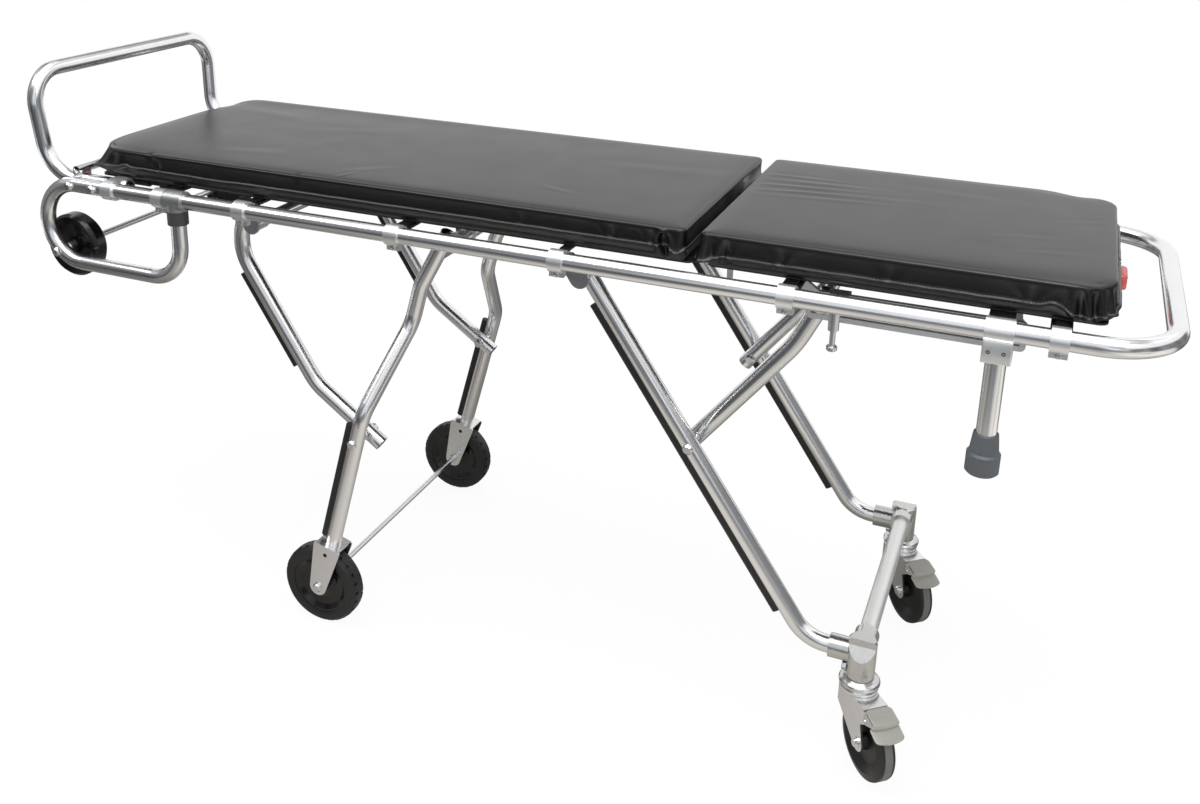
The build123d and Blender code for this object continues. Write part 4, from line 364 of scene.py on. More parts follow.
def within(centre, direction, half):
    """Mask that is 1 where the distance from a wheel's middle along its axle is under half."""
    def build(tree, place):
        middle = float(np.dot(centre, direction)) * MM
        along = add_node(tree, "VectorMath", {0: place, 1: direction}, operation="DOT_PRODUCT")
        offset = reckon(tree, "SUBTRACT", along.outputs["Value"], middle)
        reach = reckon(tree, "ABSOLUTE", offset)
        return ranged(tree, reach, (half + MASK_BLUR) * MM, (half - MASK_BLUR) * MM)
    return build


# %% [markdown]
# ## Tube directions
# The streaks of each tube follow the tube. A leg's lean is about the angle of its long run
# against the floor, in degrees.

# %% Metals
POLISHED = (0.87, 0.872, 0.88)
TUBE_ROUGH, BENT_ROUGH = 0.215, 0.2
POLISH = {"metallic": 1.0, "tone": 0.03, "bump": 0.01}
DRAWN = {"stretch": 60.0, "spread": 0.015, **POLISH}
LEANS = {"swing_arm": 59.7, "front_leg": -74.9, "rear_leg": 55.3, "brace": -55.3, "side_rail": 0.0}
TEE_CAP_Z = 760.0
tube_leans = {f"{side}_{tube}": lean for side in ("left", "right") for tube, lean in LEANS.items()}
tube_leans["posts"] = 90.0
tube_finishes = {}


def tube_finish(lean):
    """Polished aluminium tube with fine die lines along it, made once for each lean."""
    if lean not in tube_finishes:
        tube_finishes[lean] = finish(f"polished_tube_{len(tube_finishes)}", POLISHED, TUBE_ROUGH,
                                     lean=lean, **DRAWN)
    return tube_finishes[lean]


cross_tube_finish = finish("polished_cross_tube", POLISHED, TUBE_ROUGH, across=True, **DRAWN)
cast_finish = finish("cast_aluminium", (0.62, 0.62, 0.61), 0.22, metallic=1.0, grain=260.0,
                     tone=0.10, bump=0.16, bump_depth=0.0005, spread=0.07)
looks = {
    "polished_tube": finish("polished_bent_tube", POLISHED, BENT_ROUGH, grain=90.0, spread=0.03,
                            **POLISH),
    "satin_tube": finish("satin_tube", (0.86, 0.86, 0.85), 0.42, metallic=0.85, across=True,
                         stretch=25.0, tone=0.06, bump=0.08),
    "bare_aluminium": finish("machined_aluminium", (0.90, 0.905, 0.91), 0.34, metallic=0.9,
                             grain=420.0, tone=0.06, bump=0.10, bump_depth=0.0003),
    "steel": finish("zinc_steel", (0.74, 0.75, 0.76), 0.26, metallic=1.0, grain=900.0, tone=0.08,
                    bump=0.06),
    "bright_steel": finish("bright_plate", (0.82, 0.82, 0.825), 0.24, metallic=1.0, lean=80.0,
                           stretch=12.0, tone=0.05),
    "black_bracket": finish("black_paint", (0.012, 0.012, 0.013), 0.42, grain=350.0, tone=0.3,
                            bump=0.12),
    "cast_grey": finish("tee_casting", (0.075, 0.078, 0.082), 0.44, metallic=0.3, grain=420.0,
                        tone=0.22, bump=0.35, bump_depth=0.0005, mask=beyond(2, TEE_CAP_Z),
                        second=((0.42, 0.425, 0.43), 0.36, 0.85)),
}
print("metal finishes:", len(looks), "slots and", len(set(tube_leans.values())), "tube directions")

# %% [markdown]
# ## Rubber and mouldings
# The caster treads are black with a worn grey running band, so their finish measures how far a
# point is from the wheel's middle along its axle. The loading release is red only at its grip.

# %% Rubber and mouldings
STEM_X, STEM_Y = 605.5, 218.0
CASTERS = (("left", -STEM_Y), ("right", STEM_Y))
CASTER_TURN = radians(-50.0)
CASTER_TRAIL, CASTER_RADIUS = 41.0, 61.0
AXLE_WAY = (-float(np.sin(CASTER_TURN)), float(np.cos(CASTER_TURN)), 0.0)
WORN_BAND_HALF = 6.5
GRIP_START_X = -789.0
tread_finishes = {}
for side, stem_y in CASTERS:
    centre = (STEM_X + CASTER_TRAIL * np.cos(CASTER_TURN),
              stem_y + CASTER_TRAIL * np.sin(CASTER_TURN), CASTER_RADIUS)
    tread_finishes[f"{side}_caster_tread"] = finish(
        f"{side}_tread_rubber", (0.017, 0.017, 0.018), 0.5, grain=500.0, tone=0.3, bump=0.2,
        mask=within(centre, AXLE_WAY, WORN_BAND_HALF), second=((0.22, 0.22, 0.215), 0.6, 0.0))
looks.update({
    "black_rubber": finish("black_rubber", (0.014, 0.014, 0.015), 0.5, grain=650.0, tone=0.35,
                           bump=0.2),
    "grey_rubber": finish("grey_rubber", (0.135, 0.15, 0.165), 0.5, grain=500.0, tone=0.16,
                          bump=0.15),
    "black_plastic": finish("black_moulding", (0.009, 0.009, 0.010), 0.2, grain=240.0, tone=0.3,
                            bump=0.04),
    "pale_nylon": finish("white_nylon", (0.72, 0.72, 0.68), 0.45, grain=400.0, tone=0.06),
    "grey_pedal": finish("grey_moulding", (0.56, 0.55, 0.50), 0.38, grain=420.0, tone=0.07,
                         bump=0.10),
    "red_plastic": finish("red_moulding", (0.92, 0.14, 0.13), 0.3, grain=260.0, tone=0.12),
})
disc_finish = finish("black_wheel_disc", (0.010, 0.010, 0.011), 0.4, grain=300.0, tone=0.3,
                     bump=0.08)
pull_finish = finish("release_pull", (0.66, 0.04, 0.035), 0.35, grain=260.0, tone=0.12,
                     mask=beyond(0, GRIP_START_X), second=((0.012, 0.012, 0.013), 0.42, 0.0))
print("rubber, nylon, grey, red and black mouldings")

# %% Dress the CAD nodes
node_finishes = {
    "swing_arm_cross_tube": cross_tube_finish, "caster_castings": cast_finish,
    "loading_release": pull_finish, "left_caster_wheel": disc_finish,
    "right_caster_wheel": disc_finish, **tread_finishes,
    **{name: looks["black_bracket"] for name in ("main_deck", "backrest_deck", "cross_bars")},
    **{name: tube_finish(lean) for name, lean in tube_leans.items()},
}
for name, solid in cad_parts.items():
    for place, old in enumerate(solid.data.materials):
        slot = old.name.split(".")[0]
        chosen = node_finishes.get(name, looks.get(slot))
        if chosen:
            solid.data.materials[place] = chosen
print("finishes on", len(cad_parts), "CAD nodes")

# %% [markdown]
# ## Pad covers
# Each pad is a foam slab in a boxed cover of black coated cloth: a top panel with a rolled edge, a
# side band that is drawn in above a sewn seam, and a lower skirt that tucks under the foam. The
# cover could be sculpted by hand. Here the sides are the pad's outline carried down a profile on a
# fine grid, so that small folds have points to live on. The top is a coarser grid stretched inside
# the outline, and Blender's cloth swells it from below.

# %% Vinyl and thread
vinyl_finish = finish("black_vinyl", (0.006, 0.006, 0.007), 0.31, grain=1500.0, tone=0.12,
                      bump=0.10, bump_depth=0.00025, spread=0.03, specular=0.45)
thread_finish = finish("grey_thread", (0.2, 0.2, 0.205), 0.7, grain=1800.0, tone=0.2, bump=0.3)
print("cover cloth and sewing thread")

# %% Outline of a pad
OUTER_CORNER, GAP_CORNER = 55.0, 14.0
ARC_STEPS = {OUTER_CORNER: 24, GAP_CORNER: 12}
SHORT_STEPS = 240


def cover_edge(length, start_radius, end_radius, steps):
    """One side from corner middle to corner middle: place along it, bulge and turn of its normal.

    A half corner of radius r at turn t is r + r sin(t) along the side and r cos(t) - r out of it.
    """
    start_arc, end_arc = ARC_STEPS[start_radius], ARC_STEPS[end_radius]
    start = np.linspace(-pi / 4, 0, start_arc + 1)[:-1]
    end = np.linspace(0, pi / 4, end_arc + 1)[1:]
    run = np.linspace(start_radius, length - end_radius, steps - start_arc - end_arc + 1)
    along = np.concatenate([start_radius * (1 + np.sin(start)), run,
                            length - end_radius * (1 - np.sin(end))])
    out = np.concatenate([start_radius * (np.cos(start) - 1), 0 * run,
                          end_radius * (np.cos(end) - 1)])
    return along, out, np.concatenate([start, 0 * run, end])


def cover_outline(low, high, radii, long_steps):
    """The rounded rectangle of a pad, anticlockwise from its near loading corner, with normals."""
    first, last = radii
    length, width = high[0] - low[0], high[1] - low[1]
    sides, turns = [], []
    for (along, out, turn), origin, heading in (
        (cover_edge(length, first, last, long_steps), (low[0], low[1]), 0.0),
        (cover_edge(width, last, last, SHORT_STEPS), (high[0], low[1]), pi / 2),
        (cover_edge(length, last, first, long_steps), (high[0], high[1]), pi),
        (cover_edge(width, first, first, SHORT_STEPS), (low[0], high[1]), 3 * pi / 2),
    ):
        ahead = np.array([np.cos(heading), np.sin(heading)])
        outward = np.array([np.sin(heading), -np.cos(heading)])
        sides.append(np.array(origin) + along[:-1, None] * ahead + out[:-1, None] * outward)
        turns.append(np.cos(turn[:-1, None]) * outward + np.sin(turn[:-1, None]) * ahead)
    return np.concatenate(sides), np.concatenate(turns)


# %% Panels inside an outline
def fill_outline(ring, long_count, short_count):
    """Coons patch: the blend of the long sides plus that of the ends, less that of the corners."""
    near = ring[: long_count + 1]
    right = ring[long_count : long_count + short_count + 1]
    far = ring[long_count + short_count : 2 * long_count + short_count + 1][::-1]
    left = np.concatenate([ring[2 * long_count + short_count :], ring[:1]])[::-1]
    u = ((near[:, 0] - near[0, 0]) / (near[-1, 0] - near[0, 0]))[:, None, None]
    v = ((right[:, 1] - right[0, 1]) / (right[-1, 1] - right[0, 1]))[None, :, None]
    ruled = near[:, None] * (1 - v) + far[:, None] * v + left[None] * (1 - u) + right[None] * u
    corners = (near[0] * (1 - u) + near[-1] * u) * (1 - v) + (far[0] * (1 - u) + far[-1] * u) * v
    return ruled - corners


def border(long_count, short_count):
    """Point numbers round the edge of such a panel, in the order of the outline."""
    i, j = np.arange(long_count), np.arange(short_count)
    row = short_count + 1
    return np.concatenate([i * row, long_count * row + j,
                           (long_count - i) * row + short_count, short_count - j])


# %% [markdown]
# ## Folds
# A fold is a function of the gap from its own place and of the depth, which is 0 at the rolled
# edge and 1 at the seam. It gives how far the cloth moves out and how far up.

# %% Side profile
# rise above the pad's underside and inset from its outline, from the rolled top edge to the deck
COVER_PROFILE = np.array([
    (53.0, 9.4), (52.8, 6.0), (52.2, 3.6), (51.0, 1.9), (49.2, 1.0), (47.2, 1.0), (45.0, 1.5),
    (42.4, 2.1), (39.6, 2.6), (36.6, 3.0), (33.4, 3.3), (30.2, 3.5), (27.2, 3.6), (24.6, 3.3),
    (22.8, 1.9), (21.6, 0.2), (20.6, 0.7), (19.8, 2.6), (18.6, 4.4), (16.2, 5.0), (12.0, 5.0),
    (8.0, 5.6), (4.4, 7.0), (1.8, 9.2), (0.3, 12.0),
])
EDGE_RISE, SEAM_RISE = 49.0, 21.6
STITCH_ROW = 13
EAR_FOOT = 1.75


def gaussian(x):
    """The bell curve exp(-x x)."""
    return np.exp(-(x**2))


def pinch(gap, depth, width, deep):
    """A V-shaped tuck: a dent that narrows towards the seam, with a soft swelling on each flank."""
    reach = width * (0.34 + 0.9 * np.clip(1 - depth, 0, 1))
    flank = 0.4 * gaussian((np.abs(gap) - 2.6 * reach) / (1.3 * reach))
    notch = np.exp(-1.1 * np.abs(gap) / reach) - flank
    hold = np.clip((depth - 0.02) / 0.7, 0, 1) * np.clip((1.08 - depth) / 0.16, 0, 1)
    return -deep * notch * hold, 0 * notch


def gather(gap, depth, half, waves, deep, slant):
    """Folds side by side round a corner: a sine along the edge, strongest midway down."""
    window = np.exp(-((gap / half) ** 4))
    fold = np.sin(pi * waves * gap / half + slant * depth)
    return deep * window * fold * np.sin(pi * np.clip(depth / 1.5, 0, 1)), 0 * fold


def flare(gap, depth, half, push, drop):
    """A tail: the band runs out to a point at the seam and falls back below it."""
    shape = gaussian(gap / half) * np.clip(depth, 0, 1) * np.clip((1.55 - depth) / 0.5, 0, 1)
    return push * shape, -drop * shape


def slump(gap, depth, half, pull, drop, flat=2):
    """A stretch where the foam has sunk: the edge draws in and falls, the seam stays out."""
    shape = np.exp(-(np.abs(gap / half) ** flat)) * np.clip(1 - depth, 0, 1) ** 0.8
    return -pull * shape, -drop * shape


def heave(gap, depth, half, lift):
    """The seam wanders up or down for a stretch and takes the cloth near it along."""
    shape = gaussian(gap / half) * gaussian((depth - 1.05) / 0.5)
    return 0 * shape, lift * shape


def edge_dent(gap, depth, half, deep):
    """A small knock in the rolled edge."""
    shape = gaussian(gap / half) * gaussian(depth / 0.3)
    return -deep * shape, -0.6 * deep * shape


def ear(gap, depth, half, top, deep, lip):
    """A loop of spare cloth: a hollow with the outline of a drop and a raised lip round it."""
    fall = (depth - top) / (EAR_FOOT - top)
    inside = np.clip(fall, 0, 1)
    outline = 2.1 * np.sqrt(inside) * (1 - inside) ** 0.85
    beside = np.maximum(np.abs(gap) / half - outline, 0)
    distance = np.hypot(beside, 3.0 * np.maximum(-fall, 0))
    hollow = np.clip((outline - np.abs(gap) / half) / 0.45, 0, 1) * (fall > 0)
    fade = np.clip((1.8 - depth) / 0.3, 0, 1)
    return lip * gaussian(distance / 0.45) * (1 - hollow) * fade - deep * hollow, 0 * gap


def ripple(along, total, depth):
    """Slow waves of the edge and the seam, whole numbers of them round the outline."""
    turn = 2 * pi * along / total
    edge = 0.25 * np.sin(23 * turn + 0.6) + 0.15 * np.sin(41 * turn + 2.0)
    seam = 0.25 * np.sin(29 * turn + 1.1) + 0.12 * np.sin(61 * turn + 0.2)
    return edge * gaussian((depth - 0.6) / 0.7), seam * gaussian((depth - 1.0) / 0.4)


# %% [markdown]
# ## Swelling
# Foam pushes the top panel up. The cloth solver blows it up a little with its border held, and a
# few soft creases are laid over it afterwards.

# %% Swelling
CLOTH_QUALITY, CLOTH_FRAMES = 5, 20


def ridge(x, y, centre, angle, length, width, height):
    """A soft crease: a bell across it and a fading bell along it, with a trough on one flank."""
    along = (x - centre[0]) * np.cos(angle) + (y - centre[1]) * np.sin(angle)
    side = (y - centre[1]) * np.cos(angle) - (x - centre[0]) * np.sin(angle)
    across = gaussian(side / width) - 0.7 * gaussian((side - 1.6 * width) / width)
    return height * across * gaussian(along / length)


def midpoints(coarse):
    """Doubles a grid both ways by putting the middle of each two neighbours between them."""
    rows, cols, parts = coarse.shape
    fine = np.empty((2 * rows - 1, 2 * cols - 1, parts))
    fine[::2, ::2] = coarse
    fine[1::2, ::2] = (coarse[:-1] + coarse[1:]) / 2
    fine[:, 1::2] = (fine[:, :-2:2] + fine[:, 2::2]) / 2
    return fine


def swell(panel, pressure, cap):
    """How far cloth pressure moves a panel whose border is held; the cap limits each point."""
    rows, cols = panel.shape[:2]
    faces = grid_quads(rows, cols, False)[:, ::-1].tolist()
    mesh = bpy.data.meshes.new("swelling")
    mesh.from_pydata((panel.reshape(-1, 3) * MM).tolist(), [], faces)
    piece = bpy.data.objects.new("swelling", mesh)
    scene.collection.objects.link(piece)
    held = piece.vertex_groups.new(name="sewn")
    held.add(border(rows - 1, cols - 1).tolist(), 1.0, "REPLACE")
    cloth = piece.modifiers.new("swell", "CLOTH")
    cloth.settings.quality = CLOTH_QUALITY
    cloth.settings.vertex_group_mass = "sewn"
    cloth.settings.use_pressure = True
    cloth.settings.uniform_pressure_force = pressure
    cloth.settings.effector_weights.gravity = 0.0
    cloth.point_cache.frame_start = 1
    cloth.point_cache.frame_end = CLOTH_FRAMES
    for number in range(1, CLOTH_FRAMES + 1):
        scene.frame_set(number)
    swollen = piece.evaluated_get(bpy.context.evaluated_depsgraph_get()).to_mesh()
    moved = np.empty(len(swollen.vertices) * 3)
    swollen.vertices.foreach_get("co", moved)
    bpy.data.objects.remove(piece)
    bpy.data.meshes.remove(mesh)
    scene.frame_set(1)
    shift = moved.reshape(panel.shape) / MM - panel
    reach = np.linalg.norm(shift, axis=-1, keepdims=True) + 1e-9
    return shift / reach * cap * np.tanh(reach / cap)


# %% [markdown]
# ## Cutting a cover
# The folds are laid over the sides as the cover is cut: V-shaped tucks that are narrow at the seam,
# gathers round the corners where the band is eased round the foam, a loop of spare cloth at the gap
# and a tail at the loading corner. The end at the gap leans back, which leaves the backrest room to
# rise.

# %% One cover
TOP_STRIDE, BASE_STRIDE = 2, 6
TOP_TUCK, TOP_LIFT, BASE_TUCK = 3.4, 0.4, 8.0
LEAST_RISE = 0.2
CROWN, CROWN_RUN = 0.6, 80.0
PRESSURE, SWELL_CAP = 4.0, 1.2
CREASE_FREE_EDGE = 10.0
CALM_EDGE = np.hanning(61) / np.hanning(61).sum()


def give_way(piece):
    """Gives the piece a copy of its mesh that it alone uses; its shape stays as it is."""
    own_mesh(piece)


def cover_faces(rows, count, top_shape, base_shape):
    """Faces of the sides, the top, the base and the two seams that join them."""
    top_first = rows * count
    base_first = top_first + top_shape[0] * top_shape[1]
    top_edge = border(top_shape[0] - 1, top_shape[1] - 1) + top_first
    base_edge = border(base_shape[0] - 1, base_shape[1] - 1) + base_first
    fan = (np.arange(0, count, TOP_STRIDE)[:, None] + np.arange(TOP_STRIDE + 1)) % count
    hem = (np.arange(0, count, BASE_STRIDE)[:, None] + np.arange(BASE_STRIDE, -1, -1)) % count
    return (
        grid_quads(rows, count, True)[:, ::-1].tolist()
        + (grid_quads(*top_shape, False)[:, ::-1] + top_first).tolist()
        + (grid_quads(*base_shape, False) + base_first).tolist()
        + np.column_stack([top_edge, fan, np.roll(top_edge, -1)]).tolist()
        + np.column_stack([base_edge, np.roll(base_edge, -1), hem + (rows - 1) * count]).tolist()
    )


def sew_cover(name, node, body, gap_side, radii, long_steps, seam_rise, gap_shift, folds, creases):
    """Sides, top and base of one cover; cloth swells the top. Returns the sides' grid."""
    low, high = (np.array(corner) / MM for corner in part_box(node))
    ring, outward = cover_outline(low, high, radii, long_steps)
    count, rows = len(ring), len(COVER_PROFILE)
    span = np.linalg.norm(np.roll(ring, -1, axis=0) - ring, axis=1)
    along, total = np.cumsum(span) - span, span.sum()
    rise, inset = COVER_PROFILE[:, :1], COVER_PROFILE[:, 1:]
    depth = (EDGE_RISE - rise) / (EDGE_RISE - SEAM_RISE)
    rise = np.interp(rise, [0.0, SEAM_RISE, EDGE_RISE, rise[0, 0]],
                     [0.0, seam_rise, EDGE_RISE, rise[0, 0]])

    out, lift = ripple(along[None], total, depth)
    for shape, place, *sizes in folds:
        gap = (along[None] - place + total / 2) % total - total / 2
        more_out, more_lift = shape(gap, depth, *sizes)
        out, lift = out + more_out, lift + more_lift

    flat = ring[None] + (out - inset)[..., None] * outward[None]
    share = (flat[..., 0] - low[0]) / (high[0] - low[0])
    share = share if gap_side > 0 else 1 - share
    flat[..., 0] -= gap_side * share * (gap_shift[0] + gap_shift[1] * rise / EDGE_RISE)
    height = np.maximum(rise + lift, LEAST_RISE)[..., None] + low[2]
    band = np.concatenate([flat, height], axis=-1)

    def panel(row, stride, tuck, lift):
        inside = band[row] + np.column_stack([-tuck * outward, np.full(count, lift)])
        level = np.convolve(np.tile(inside[:, 2], 3), CALM_EDGE, "same")
        inside[:, 2] = level[count : 2 * count]
        return fill_outline(inside[::stride], long_steps // stride, SHORT_STEPS // stride)

    top = panel(0, TOP_STRIDE, TOP_TUCK, TOP_LIFT)
    x, y = top[..., 0], top[..., 1]
    edge = np.minimum(np.minimum(x - x.min(), x.max() - x), np.minimum(y - y.min(), y.max() - y))
    top[..., 2] += CROWN * (1 - np.exp(-edge / CROWN_RUN))
    top += midpoints(swell(top[::2, ::2], PRESSURE, SWELL_CAP))
    calm = np.clip(edge / CREASE_FREE_EDGE, 0, 1)
    for crease in creases:
        top[..., 2] += calm * ridge(x, y, *crease)
    base = panel(-1, BASE_STRIDE, BASE_TUCK, 0.0)
    base[..., 2] = low[2]

    points = np.concatenate([grid.reshape(-1, 3) for grid in (band, top, base)])
    faces = cover_faces(rows, count, top.shape[:2], base.shape[:2])
    cover = put_mesh(name, points, faces, body, "black_vinyl", material=vinyl_finish)
    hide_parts(node)
    if gap_side > 0:
        give_way(cover)
    print(name, "has", len(points), "points; top at", round(points[:, 2].max(), 1), "mm")
    return band


# %% [markdown]
# ## The seam's thread
# A lockstitch shows as short dashes of grey thread on the upper side of the seam. It could be a
# texture. As small capsules it stays crisp from any distance, and each has only a few faces.

# %% Stitches
STITCH_PITCH, STITCH_LENGTH = 4.6, 3.2
THREAD_RADIUS, THREAD_SIDES, THREAD_PROUD = 0.45, 6, 0.2
STITCH_SHAPE = np.array([(-1.0, 0.4), (-0.7, 0.9), (0.0, 1.0), (0.7, 0.9), (1.0, 0.4)])


def stitch(name, band, body):
    """Capsules on the line between two rows of the sides: a ring carried along each stitch."""
    line = (band[STITCH_ROW] + band[STITCH_ROW + 1]) / 2
    ahead = np.roll(line, -1, axis=0) - line
    over = np.cross(band[STITCH_ROW + 1] - band[STITCH_ROW], ahead)
    over /= np.linalg.norm(over, axis=1, keepdims=True)
    run = np.cumsum(np.linalg.norm(ahead, axis=1))
    place = np.arange(STITCH_PITCH, run[-1] - STITCH_PITCH, STITCH_PITCH)

    def at(where, values):
        columns = np.roll(values, -1, axis=0).T
        return np.stack([np.interp(where, run, column) for column in columns], axis=-1)

    start, end, normal = at(place, line), at(place + STITCH_LENGTH, line), at(place, over)
    axis = (end - start) / np.linalg.norm(end - start, axis=1, keepdims=True)
    side = np.cross(axis, normal)[:, None, None]
    axis, normal = axis[:, None, None], normal[:, None, None]
    turn = np.arange(THREAD_SIDES) * 2 * pi / THREAD_SIDES
    length = STITCH_SHAPE[:, 0, None, None]
    radius = STITCH_SHAPE[:, 1, None, None] * THREAD_RADIUS
    round_way = np.cos(turn)[:, None] * normal + np.sin(turn)[:, None] * side
    middle = (start + end)[:, None, None] / 2 + THREAD_PROUD * normal
    points = middle + length * STITCH_LENGTH / 2 * axis + radius * round_way
    rings, loop = len(STITCH_SHAPE), np.arange(THREAD_SIDES)
    sides = grid_quads(rings, THREAD_SIDES, True)[:, ::-1]
    first = np.arange(len(place))[:, None, None] * THREAD_SIDES * rings
    caps = np.stack([loop, loop[::-1] + THREAD_SIDES * (rings - 1)])
    faces = (sides[None] + first).reshape(-1, 4).tolist()
    faces += (caps[None] + first).reshape(-1, THREAD_SIDES).tolist()
    print(name, "has", len(place), "stitches")
    points = points.reshape(-1, 3)
    return put_mesh(name, points, faces, body, "black_vinyl", material=thread_finish)


# %% [markdown]
# ## The two covers
# Each fold is a shape, its place along the outline from the near loading corner, and the shape's
# own sizes. Each crease of the top is a centre, an angle, a length, a width and a height.

# %% Main cover
MAIN_STEPS, MAIN_SEAM, MAIN_GAP_SHIFT = 576, 21.6, (2.0, 6.0)
main_folds = [
    (slump, 0.0, 48.0, 15.0, 2.0), (flare, 0.0, 15.0, 17.0, 5.0), (flare, 34.0, 22.0, 5.0, 3.0),
    (gather, 18.0, 60.0, 3.0, 2.2, 1.4), (slump, 2797.0, 42.0, 9.0, 3.0),
    (heave, 73.0, 10.0, 4.0), (edge_dent, 134.0, 8.0, 2.2), (pinch, 150.0, 6.0, 1.6),
    (heave, 260.0, 60.0, -1.5), (edge_dent, 452.0, 7.0, 1.2), (pinch, 870.0, 8.0, 1.5),
    (pinch, 1024.0, 7.0, 2.0), (ear, 1108.0, 12.0, 0.15, 6.5, 4.2),
    (flare, 1128.0, 9.0, 5.0, 8.0), (pinch, 1088.0, 5.0, 2.4),
    (gather, 1640.0, 30.0, 3.0, 3.0, 2.0), (gather, 2815.0, 55.0, 3.0, 3.0, 1.4),
    (pinch, 2300.0, 8.0, 3.0),
]
main_creases = [
    ((-318, -200), 1.1, 16, 4, 0.8), ((-300, -160), 0.7, 40, 12, 0.4),
    ((-560, -150), 0.25, 60, 16, 0.4), ((40, -130), -0.3, 30, 8, 0.4),
    ((-700, 120), -0.2, 90, 20, 0.4), ((150, 60), 0.1, 90, 20, 0.4),
    ((-480, 60), 0.35, 80, 20, 0.3),
]
main_band = sew_cover("main_cover", "main_pad", "frame", 1, (OUTER_CORNER, GAP_CORNER),
                      MAIN_STEPS, MAIN_SEAM, MAIN_GAP_SHIFT, main_folds, main_creases)
give_way(stitch("main_stitches", main_band, "frame"))

# %% Backrest cover
REST_STEPS, REST_SEAM, REST_GAP_SHIFT = 288, 17.5, (-4.0, -6.0)
rest_folds = [
    (flare, 0.0, 15.0, 16.0, 8.0), (gather, 22.0, 20.0, 2.0, 3.4, 1.8), (pinch, 40.0, 5.0, 2.4),
    (pinch, 115.0, 7.0, 2.6), (pinch, 268.0, 9.0, 1.8), (pinch, 451.5, 7.0, 2.4),
    (heave, 478.0, 11.0, 5.0), (heave, 506.0, 12.0, -9.0), (heave, 530.0, 16.0, -11.0),
    (heave, 562.0, 20.0, -10.0), (slump, 800.0, 255.0, 8.0, 1.0, 8),
    (slump, 546.0, 34.0, 6.0, 3.0), (slump, 1052.0, 34.0, 4.0, 3.0),
    (gather, 536.0, 38.0, 3.4, 5.5, -1.4), (gather, 1050.0, 50.0, 3.0, 3.2, 1.6),
    (gather, 1610.0, 26.0, 3.0, 3.0, 1.6), (pinch, 1300.0, 8.0, 4.0), (pinch, 780.0, 8.0, 3.4),
]
rest_creases = [
    ((395, 60), 0.10, 80, 7, 0.7), ((420, 92), 0.05, 70, 8, 0.6), ((405, 30), 0.16, 70, 7, 0.6),
    ((450, 5), 0.12, 90, 9, 0.5), ((380, 118), 0.0, 60, 8, 0.5), ((520, 40), 0.08, 90, 12, 0.3),
    ((760, -60), 0.25, 60, 9, 0.2), ((800, -120), 0.3, 45, 8, 0.2),
    ((840, 60), 0.5, 40, 8, 0.2), ((640, 120), -0.1, 110, 14, 0.2),
]
rest_band = sew_cover("backrest_cover", "backrest_pad", "backrest", -1,
                      (GAP_CORNER, OUTER_CORNER), REST_STEPS, REST_SEAM, REST_GAP_SHIFT,
                      rest_folds, rest_creases)
stitch("backrest_stitches", rest_band, "backrest")

# %% [markdown]
# ## Brake pedals
# A caster's brake is worked by foot: a moulded plate turns on a pin between two small cheeks, steps
# down over the wheel and ends in a wide lip. It could be bent from a flat sheet with modifiers.
# Here its section, a thin rounded slab, is carried along a smoothed line, and the cheeks are hulls
# of a few circles, as a draughtsman would draw them. No letters are moulded in; fine ribs give the
# shoe grip.

# %% Plates from circles
BEVEL_STEP = 0.3


def hull_outline(circles, count=64):
    """Outline round some circles: in each direction, the point that reaches furthest."""
    turn = np.linspace(0, 2 * pi, count, endpoint=False)
    way = np.column_stack([np.cos(turn), np.sin(turn)])
    centre, radius = np.array(circles)[:, :2], np.array(circles)[:, 2]
    furthest = np.argmax(way @ centre.T + radius, axis=1)
    return centre[furthest] + radius[furthest, None] * way, way


def prism(circles, low, high, bevel):
    """The hull of some circles carried from low to high, bevelled at both ends and capped."""
    outline, way = hull_outline(circles)
    count, step = len(outline), BEVEL_STEP * bevel
    levels = ((bevel, low), (step, low + step), (0.0, low + bevel),
              (0.0, high - bevel), (step, high - step), (bevel, high))
    rows = [np.column_stack([outline - tuck * way, np.full(count, level)])
            for tuck, level in levels]
    loop = np.arange(count)
    ends = [loop[::-1].tolist(), (loop + (len(rows) - 1) * count).tolist()]
    return np.concatenate(rows), grid_quads(len(rows), count, True).tolist() + ends


def joined(shapes):
    """Several (points, faces) as one: each face list is moved up by the points before it."""
    points, faces, first = [], [], 0
    for some_points, some_faces in shapes:
        points.append(some_points)
        faces += [[corner + first for corner in face] for face in some_faces]
        first += len(some_points)
    return np.concatenate(points), faces


# %% Pedal plate
# places along the caster's trail and above the floor, from the pin to the lip
PEDAL_LINE = np.array([
    (55.5, 130.6), (66.0, 129.4), (83.5, 124.6), (85.0, 119.5), (82.0, 114.6), (104.5, 105.0),
])
PEDAL_ROWS, PEDAL_SMOOTHING, SLAB_POINTS = 150, 7, 25
PEDAL_HALF_THICK, PEDAL_HALF_WIDE = 1.3, 21.8
LIP_EXTRA, LIP_RUN = 3.2, 14.0
LIP_CORNER, ROOT_CORNER = 7.0, 5.0
RIB_HEIGHT, RIB_PITCH, RIB_FADE = 0.35, 2.6, 2
RIBS_START, RIBS_END = 18.0, 26.0
BOW_DEPTH, BOW_START, BOW_RUN = 4.0, 18.0, 20.0


def corner_cut(radius, gap):
    """What a round corner takes off at a gap from its end: r less the root of r r - (r - gap)^2."""
    return radius - np.sqrt(np.maximum(radius**2 - np.maximum(radius - gap, 0) ** 2, 0.0))


